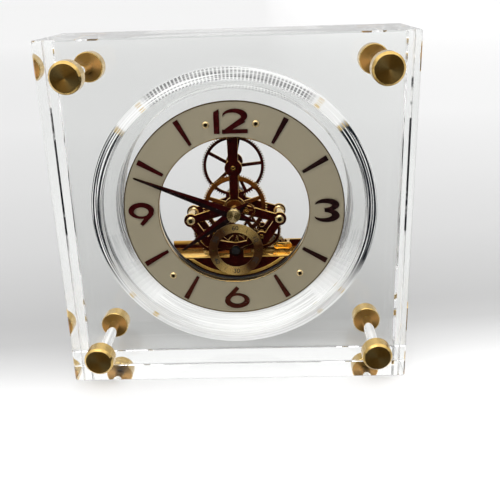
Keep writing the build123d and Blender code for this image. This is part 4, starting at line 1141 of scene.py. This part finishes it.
SECONDS_OPENING, SECONDS_BREAK, SECONDS_STEPS = 11.2 * MM, 0.0001, 160
HUB_BORE, HUB_WALL, HUB_STEPS, HUB_ROWS = 0.00065, 0.0008, 64, 8
MARK_HALF_WIDTH, MARK_HALF_LENGTH, MARK_THICK, MARK_SHADE_ANGLE = 0.00016, 0.0012, 0.00004, 30
NUMBER_SIZE, NUMBER_BOLD, NUMBER_HALF_THICK = 0.0040, 0.00007, 0.00002


def turn_hub(palette, spot):
    """A black dome, bored from behind for the seconds arbor."""
    low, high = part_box("seconds_hub")
    radius, rise, floor = half_width(low, high), high.y - low.y, low.y + HUB_WALL
    angles = [row * math.pi / (2 * HUB_ROWS) for row in range(HUB_ROWS)]
    dome = [(radius * math.sin(angle), high.y - rise * math.cos(angle) ** 0.8) for angle in angles]
    profile = dome + [(radius, high.y), (HUB_BORE, high.y), (HUB_BORE, floor), (0, floor)]
    black = plastic_finish("hub_black", tint(palette.black, 0.5), 0.2, specular=0.12)
    piece = turn_piece("seconds_hub_domed", profile, spot, HUB_STEPS)
    dress(piece, "seconds", (black,), ("seconds_hub",))


def print_marks(palette, spot, ring, near):
    """Twelve marks round the ring: a number at each even place and a bar at each odd one."""
    ink = plastic_finish("printed_ink", palette.ink, 0.5)
    mesh = bmesh.new()
    for mark in range(12):
        turn = Matrix.Translation(spot) @ Matrix.Rotation(FULL_TURN * mark / 12, 4, ALONG_Y)
        if mark % 2:
            low = Vector((-MARK_HALF_WIDTH, near - MARK_THICK, ring - MARK_HALF_LENGTH))
            high = Vector((MARK_HALF_WIDTH, near, ring + MARK_HALF_LENGTH))
            bmesh.ops.transform(mesh, matrix=turn, verts=block(mesh, low, high))
        else:
            number(mesh, str(mark * 5 or 60), turn, ring, near, 4 <= mark <= 8)
    close_up(mesh)
    piece = as_object("seconds_marks", mesh, MARK_SHADE_ANGLE)
    dress(piece, "case", (ink,), ())


def number(mesh, words, turn, ring, near, flip):
    """Adds one printed number, turned upright where it would stand on its head."""
    font = bpy.data.curves.new("number", "FONT")
    font.body = words
    font.size = NUMBER_SIZE
    font.offset = NUMBER_BOLD
    font.align_x = "CENTER"
    font.align_y = "CENTER"
    font.extrude = NUMBER_HALF_THICK
    holder = bpy.data.objects.new("number", font)
    bpy.context.scene.collection.objects.link(holder)
    graph = bpy.context.evaluated_depsgraph_get()
    data = bpy.data.meshes.new_from_object(holder.evaluated_get(graph))
    before = set(mesh.verts)
    mesh.from_mesh(data)
    made = [v for v in mesh.verts if v not in before]
    stand = Matrix.Rotation(math.pi / 2, 4, "X")
    spin = Matrix.Rotation(math.pi if flip else 0.0, 4, ALONG_Y)
    place = turn @ Matrix.Translation(Vector((0, near - NUMBER_HALF_THICK, ring))) @ spin @ stand
    bmesh.ops.transform(mesh, matrix=place, verts=made)
    bpy.data.objects.remove(holder)
    bpy.data.meshes.remove(data)


class CLOCK_OT_seconds(Operator):
    """Make the seconds ring with its printed marks, its hub and hand"""

    bl_idname = "clock.seconds"
    bl_label = "Seconds dial"

    def execute(self, context):
        palette = context.scene.clock_colours
        spot = joint_spot("seconds_turn")
        low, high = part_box("seconds_ring")
        outer, inner, fine = half_width(low, high), SECONDS_OPENING, SECONDS_BREAK
        near, far = low.y, high.y
        profile = [
            (inner, near + fine), (inner + fine, near), (outer - fine, near), (outer, near + fine),
            (outer, far), (inner, far),
        ]
        piece = turn_piece("seconds_ring_brushed", profile, spot, SECONDS_STEPS, closed=True)
        # painted highlight: a lighter lobe across the ring
        brushed = metal_finish("seconds_brass", palette.seconds, 0.28, spot, grain=2600.0, aniso=0.85,
                               metallic=0.65, painted_bow=(0.36, tint(palette.brass, 1.05)))
        dress(piece, "case", (brushed,), ("seconds_ring",))
        print_marks(palette, spot, (inner + outer) / 2, near)
        turn_hub(palette, spot)
        blade = faced_finish("seconds_blade", palette.maroon, tint(palette.gold, 0.1), 0.2)
        bevelled_copy("seconds_hand", 0.08, blade)
        keep("seconds_posts", metal_finish("post_gold", palette.gold, 0.15))
        return {"FINISHED"}


PILLAR_BORE, PILLAR_COLLAR, PILLAR_BREAK = 1.05 * MM, 1.2 * MM, 0.15 * MM
PILLAR_WAIST, PILLAR_END, PILLAR_STEPS = 0.84, 0.94, 48


def turn_pillars(finish):
    """Pillars turned with a collar at each end and bored for their screws."""
    mesh = bmesh.new()
    for low, high in islands("pillars"):
        radius = half_width(low, high)
        end, waist, shoulder = radius * PILLAR_END, radius * PILLAR_WAIST, 1.3 * PILLAR_COLLAR
        half = [(PILLAR_BORE, 0), (end, 0), (radius, PILLAR_BREAK), (radius, PILLAR_COLLAR)]
        half.append((waist, shoulder))
        profile = [(out, low.y + deep) for out, deep in half]
        profile += [(out, high.y - deep) for out, deep in reversed(half)]
        lathe(mesh, profile, axis_spot(low, high), PILLAR_STEPS, closed=True)
    close_up(mesh)
    dress(as_object("pillars_turned", mesh), "case", (finish,), ("pillars",))


class CLOCK_OT_movement(Operator):
    """Finish the bridge, plates, pillars, shelf and wheels"""

    bl_idname = "clock.movement"
    bl_label = "Movement"

    def execute(self, context):
        palette = context.scene.clock_colours
        plates = (("front_bridge", 0.25, "burnished_bridge"), ("rear_plate", 0.2, "rear_plate_gilt"))
        for node, width, name in plates:
            finish = faced_finish(name, palette.maroon, palette.gold, 0.2, metallic=0.5)
            bevelled_copy(node, width, finish)
        gold = metal_finish("movement_gold", palette.gold, 0.14)
        for node in ("bridge_screws", "bushes", "motion_stud", "idler_stud", "rotor_cock"):
            bevelled_copy(node, 0.12, gold, segments=2)
        head = metal_finish("pillar_screw_gold", palette.pillar, 0.14, metallic=0.8)
        # painted shade: near black for the screws' dished middles
        painted_shade_well = metal_finish("pillar_screw_well", tint(palette.gold, 0.04), 0.3)
        turn_screws("pillar_screws", head, painted_shade_well, 1.1 * MM, 1.0 * MM, both=True)
        turn_pillars(metal_finish("pillar_gold", palette.pillar, 0.16, metallic=0.85))
        polished = metal_finish("shelf_gold", palette.gold, 0.12, metallic=0.8)
        bevelled_copy("base_shelf", 0.3, polished, 2)
        dark = faced_finish("wheel_dark", palette.maroon, tint(palette.gold, 0.6), 0.25, metallic=0.5)
        # painted shade: the gilt wheels darker towards the bottom
        amber = faced_finish("wheel_amber_painted_shade", palette.amber, palette.gold, 0.22, metallic=0.7, painted_shades="down")
        for node in ("upper_wheel", "third_wheel", "intermediate_wheel", "idler_wheel"):
            keep(node, dark)
        for node in ("centre_wheel", "seconds_wheel", "motion_wheel", "hour_wheel"):
            keep(node, amber)
        return {"FINISHED"}


COIL_FLANGE, COIL_PITCH, FLANGE_STEPS, WIRE_STEPS = 0.7 * MM, 0.26 * MM, 40, 32
WIRE_ROOT, WIRE_CREST = 0.86, 0.90
BOARD_SINK = 0.02 * MM
CHIP_HALF, CHIP_THICK = Vector((3.0 * MM, 0, 2.2 * MM)), Vector((0, 1.1 * MM, 0))
LEG_FIRST, LEG_PITCH, LEG_HALF, LEG_LONG, LEG_THICK = 2.25 * MM, 1.5 * MM, 0.25 * MM, 0.8 * MM, 0.35 * MM
CAN_RADIUS, CAN_LENGTH, CAN_STEPS = 0.9 * MM, 6.0 * MM, 32
CAN_PROFILE = ((0, 0.0), (0.8, 0.0), (1, 0.12), (1, 0.9), (1.1, 0.92), (1.1, 1.0), (0, 1.0))
SOLDER_DOME = [(0, 0.5 * MM), (0.3 * MM, 0.42 * MM), (0.55 * MM, 0.15 * MM), (0.75 * MM, 0), (0, 0)]
SOLDER_STEPS = 20
NUB_LENGTH, NUB_RADIUS, NUB_TOP, BATTERY_END, CRIMP, BATTERY_STEPS = (
    1.1 * MM, 2.6 * MM, 2.35 * MM, 0.6 * MM, 0.1 * MM, 96
)


def wind_coil(copper, black):
    """Fine wire wound between two small flanges."""
    low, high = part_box("coil")
    middle = (low + high) / 2
    spot = Vector((low.x, middle.y, middle.z))
    radius, flange, pitch, span = (high.z - low.z) / 2, COIL_FLANGE, COIL_PITCH, high.x - low.x
    mesh = bmesh.new()
    for start in (0.0, span - flange):
        end = start + flange
        ring = [(0, start), (radius, start), (radius, end), (0, end)]
        lathe(mesh, ring, spot, FLANGE_STEPS, axis=ALONG_X)
    close_up(mesh)
    bevel_edges(mesh, sharp_edges(mesh), 0.1 * MM)
    dress(as_object("coil_flanges", mesh), "case", (black,), ("coil",))
    root, crest, wound = WIRE_ROOT * radius, WIRE_CREST * radius, span - 2 * flange
    turns = int(wound / pitch)
    wire = [(0, flange)]
    for turn in range(turns):
        start = flange + wound * turn / turns
        wire += [(root, start), (crest, start + 0.3 * pitch), (crest, start + 0.7 * pitch)]
    wire += [(root, span - flange), (0, span - flange)]
    piece = turn_piece("coil_winding", wire, spot, WIRE_STEPS, axis=ALONG_X, sharp=BEVEL_ANGLE)
    dress(piece, "case", (copper,), ("coil",))


def fit_board(nickel, black):
    """The chip with its legs, the crystal can and the solder joints on the circuit board."""
    low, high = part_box("circuit_board")
    face = high.y - BOARD_SINK
    chip = Vector((low.x + 11.0 * MM, face, low.z + 5.0 * MM))
    mesh = bmesh.new()
    block(mesh, chip - CHIP_HALF, chip + CHIP_HALF + CHIP_THICK)
    close_up(mesh)
    bevel_edges(mesh, sharp_edges(mesh), 0.15 * MM, 2)
    dress(as_object("board_chip", mesh), "case", (black,), ())
    mesh = bmesh.new()
    for leg in range(4):
        across = chip.x - LEG_FIRST + leg * LEG_PITCH
        for side in (-1, 1):
            edge = chip.z + side * CHIP_HALF.z
            outer = edge + side * LEG_LONG
            block(mesh, Vector((across - LEG_HALF, face, min(edge, outer))),
                  Vector((across + LEG_HALF, face + LEG_THICK, max(edge, outer))))
    close_up(mesh)
    bevel_edges(mesh, sharp_edges(mesh), 0.08 * MM)
    spot = Vector((high.x - 13.0 * MM, face + CAN_RADIUS, low.z + 5.0 * MM))
    can = [(out * CAN_RADIUS, share * CAN_LENGTH) for out, share in CAN_PROFILE]
    lathe(mesh, can, spot, CAN_STEPS, axis=ALONG_X)
    for across in (high.x - 5.5 * MM, high.x - 3.5 * MM, low.x + 3.5 * MM, low.x + 5.5 * MM):
        for lift in (2.4 * MM, 6.0 * MM):
            lathe(mesh, SOLDER_DOME, Vector((across, face, low.z + lift)), SOLDER_STEPS)
    close_up(mesh)
    dress(as_object("board_joints", mesh), "case", (nickel,), ())


def turn_battery(nickel, wrap):
    """A can with crimped ends, a raised contact and a wrap round its middle."""
    low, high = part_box("battery")
    middle = (low + high) / 2
    spot = Vector((low.x, middle.y, middle.z))
    radius, end = (high.z - low.z) / 2, BATTERY_END
    neck, span = radius - CRIMP, high.x - low.x - NUB_LENGTH
    top = span + NUB_LENGTH
    profile = [
        (0, 0.2 * MM), (0.62 * radius, 0.2 * MM), (0.68 * radius, 0), (radius - end, 0),
        (neck, 0.6 * end), (neck, 1.6 * end), (radius, 1.8 * end),
        (radius, span - 1.8 * end), (neck, span - 1.6 * end), (neck, span - end),
        (radius - 0.8 * end, span - 0.1 * end), (radius - 1.3 * end, span), (0.74 * radius, span),
        (0.70 * radius, span - 0.3 * MM), (0.45 * radius, span - 0.3 * MM), (NUB_RADIUS, span - 0.1 * MM),
        (NUB_RADIUS, top - 0.25 * MM), (NUB_TOP, top), (0, top),
    ]
    piece = turn_piece("battery_turned", profile, spot, BATTERY_STEPS, axis=ALONG_X)
    dress(piece, "battery", (nickel, wrap), ("battery",))
    for face in piece.data.polygons:
        face.material_index = int(1.5 * end < face.center.x - low.x < span - 1.5 * end)


class CLOCK_OT_drive(Operator):
    """Finish the battery, its box, the circuit and the setting knob"""

    bl_idname = "clock.drive"
    bl_label = "Drive"

    def execute(self, context):
        palette = context.scene.clock_colours
        nickel = metal_finish("nickel", palette.nickel, 0.2)
        black = plastic_finish("moulded_black", palette.black, 0.4)
        mask = plastic_finish("solder_mask", palette.board, 0.35)
        for node, width, finish, slot, segments in (
            ("rotor", 0.08, nickel, "nickel", 1),
            ("battery_contacts", 0.1, nickel, "nickel", 1),
            ("stator", 0.1, layered_finish(palette.nickel), "nickel", 1),
            ("battery_box", 0.4, black, "black_plastic", 3),
            ("setting_knob", 0.3, black, "black_plastic", 2),
            ("circuit_board", 0.08, mask, "board", 1),
        ):
            bevelled_copy(node, width, finish, segments)
        wind_coil(metal_finish("coil_copper", palette.copper, 0.3), black)
        fit_board(nickel, black)
        turn_battery(nickel, wrap_finish(palette))
        return {"FINISHED"}


class CLOCK_PT_panel(Panel):
    """Lists the clock's pieces and their settings"""

    bl_idname = "CLOCK_PT_panel"
    bl_label = "Clock"
    bl_space_type = "VIEW_3D"
    bl_region_type = "UI"
    bl_category = "Clock"

    def draw(self, context):
        for operator in OPERATORS:
            self.layout.operator(operator.bl_idname)
        for group in SETTING_GROUPS:
            settings = getattr(context.scene, group)
            for name in settings.__annotations__:
                self.layout.prop(settings, name)


OPERATORS = (
    CLOCK_OT_camera,
    CLOCK_OT_stage,
    CLOCK_OT_slabs,
    CLOCK_OT_thumb_knobs,
    CLOCK_OT_dial,
    CLOCK_OT_hands,
    CLOCK_OT_seconds,
    CLOCK_OT_movement,
    CLOCK_OT_drive,
)
CLASSES = (*SETTING_GROUPS.values(), *OPERATORS, CLOCK_PT_panel)


def register():
    for item in CLASSES:
        bpy.utils.register_class(item)
    for name, group in SETTING_GROUPS.items():
        setattr(bpy.types.Scene, name, PointerProperty(type=group))


def unregister():
    for name in SETTING_GROUPS:
        delattr(bpy.types.Scene, name)
    for item in reversed(CLASSES):
        bpy.utils.unregister_class(item)


def main():
    register()
    for operator in OPERATORS:
        family, name = operator.bl_idname.split(".")
        getattr(getattr(bpy.ops, family), name)()


if __name__ == "__main__":
    main()
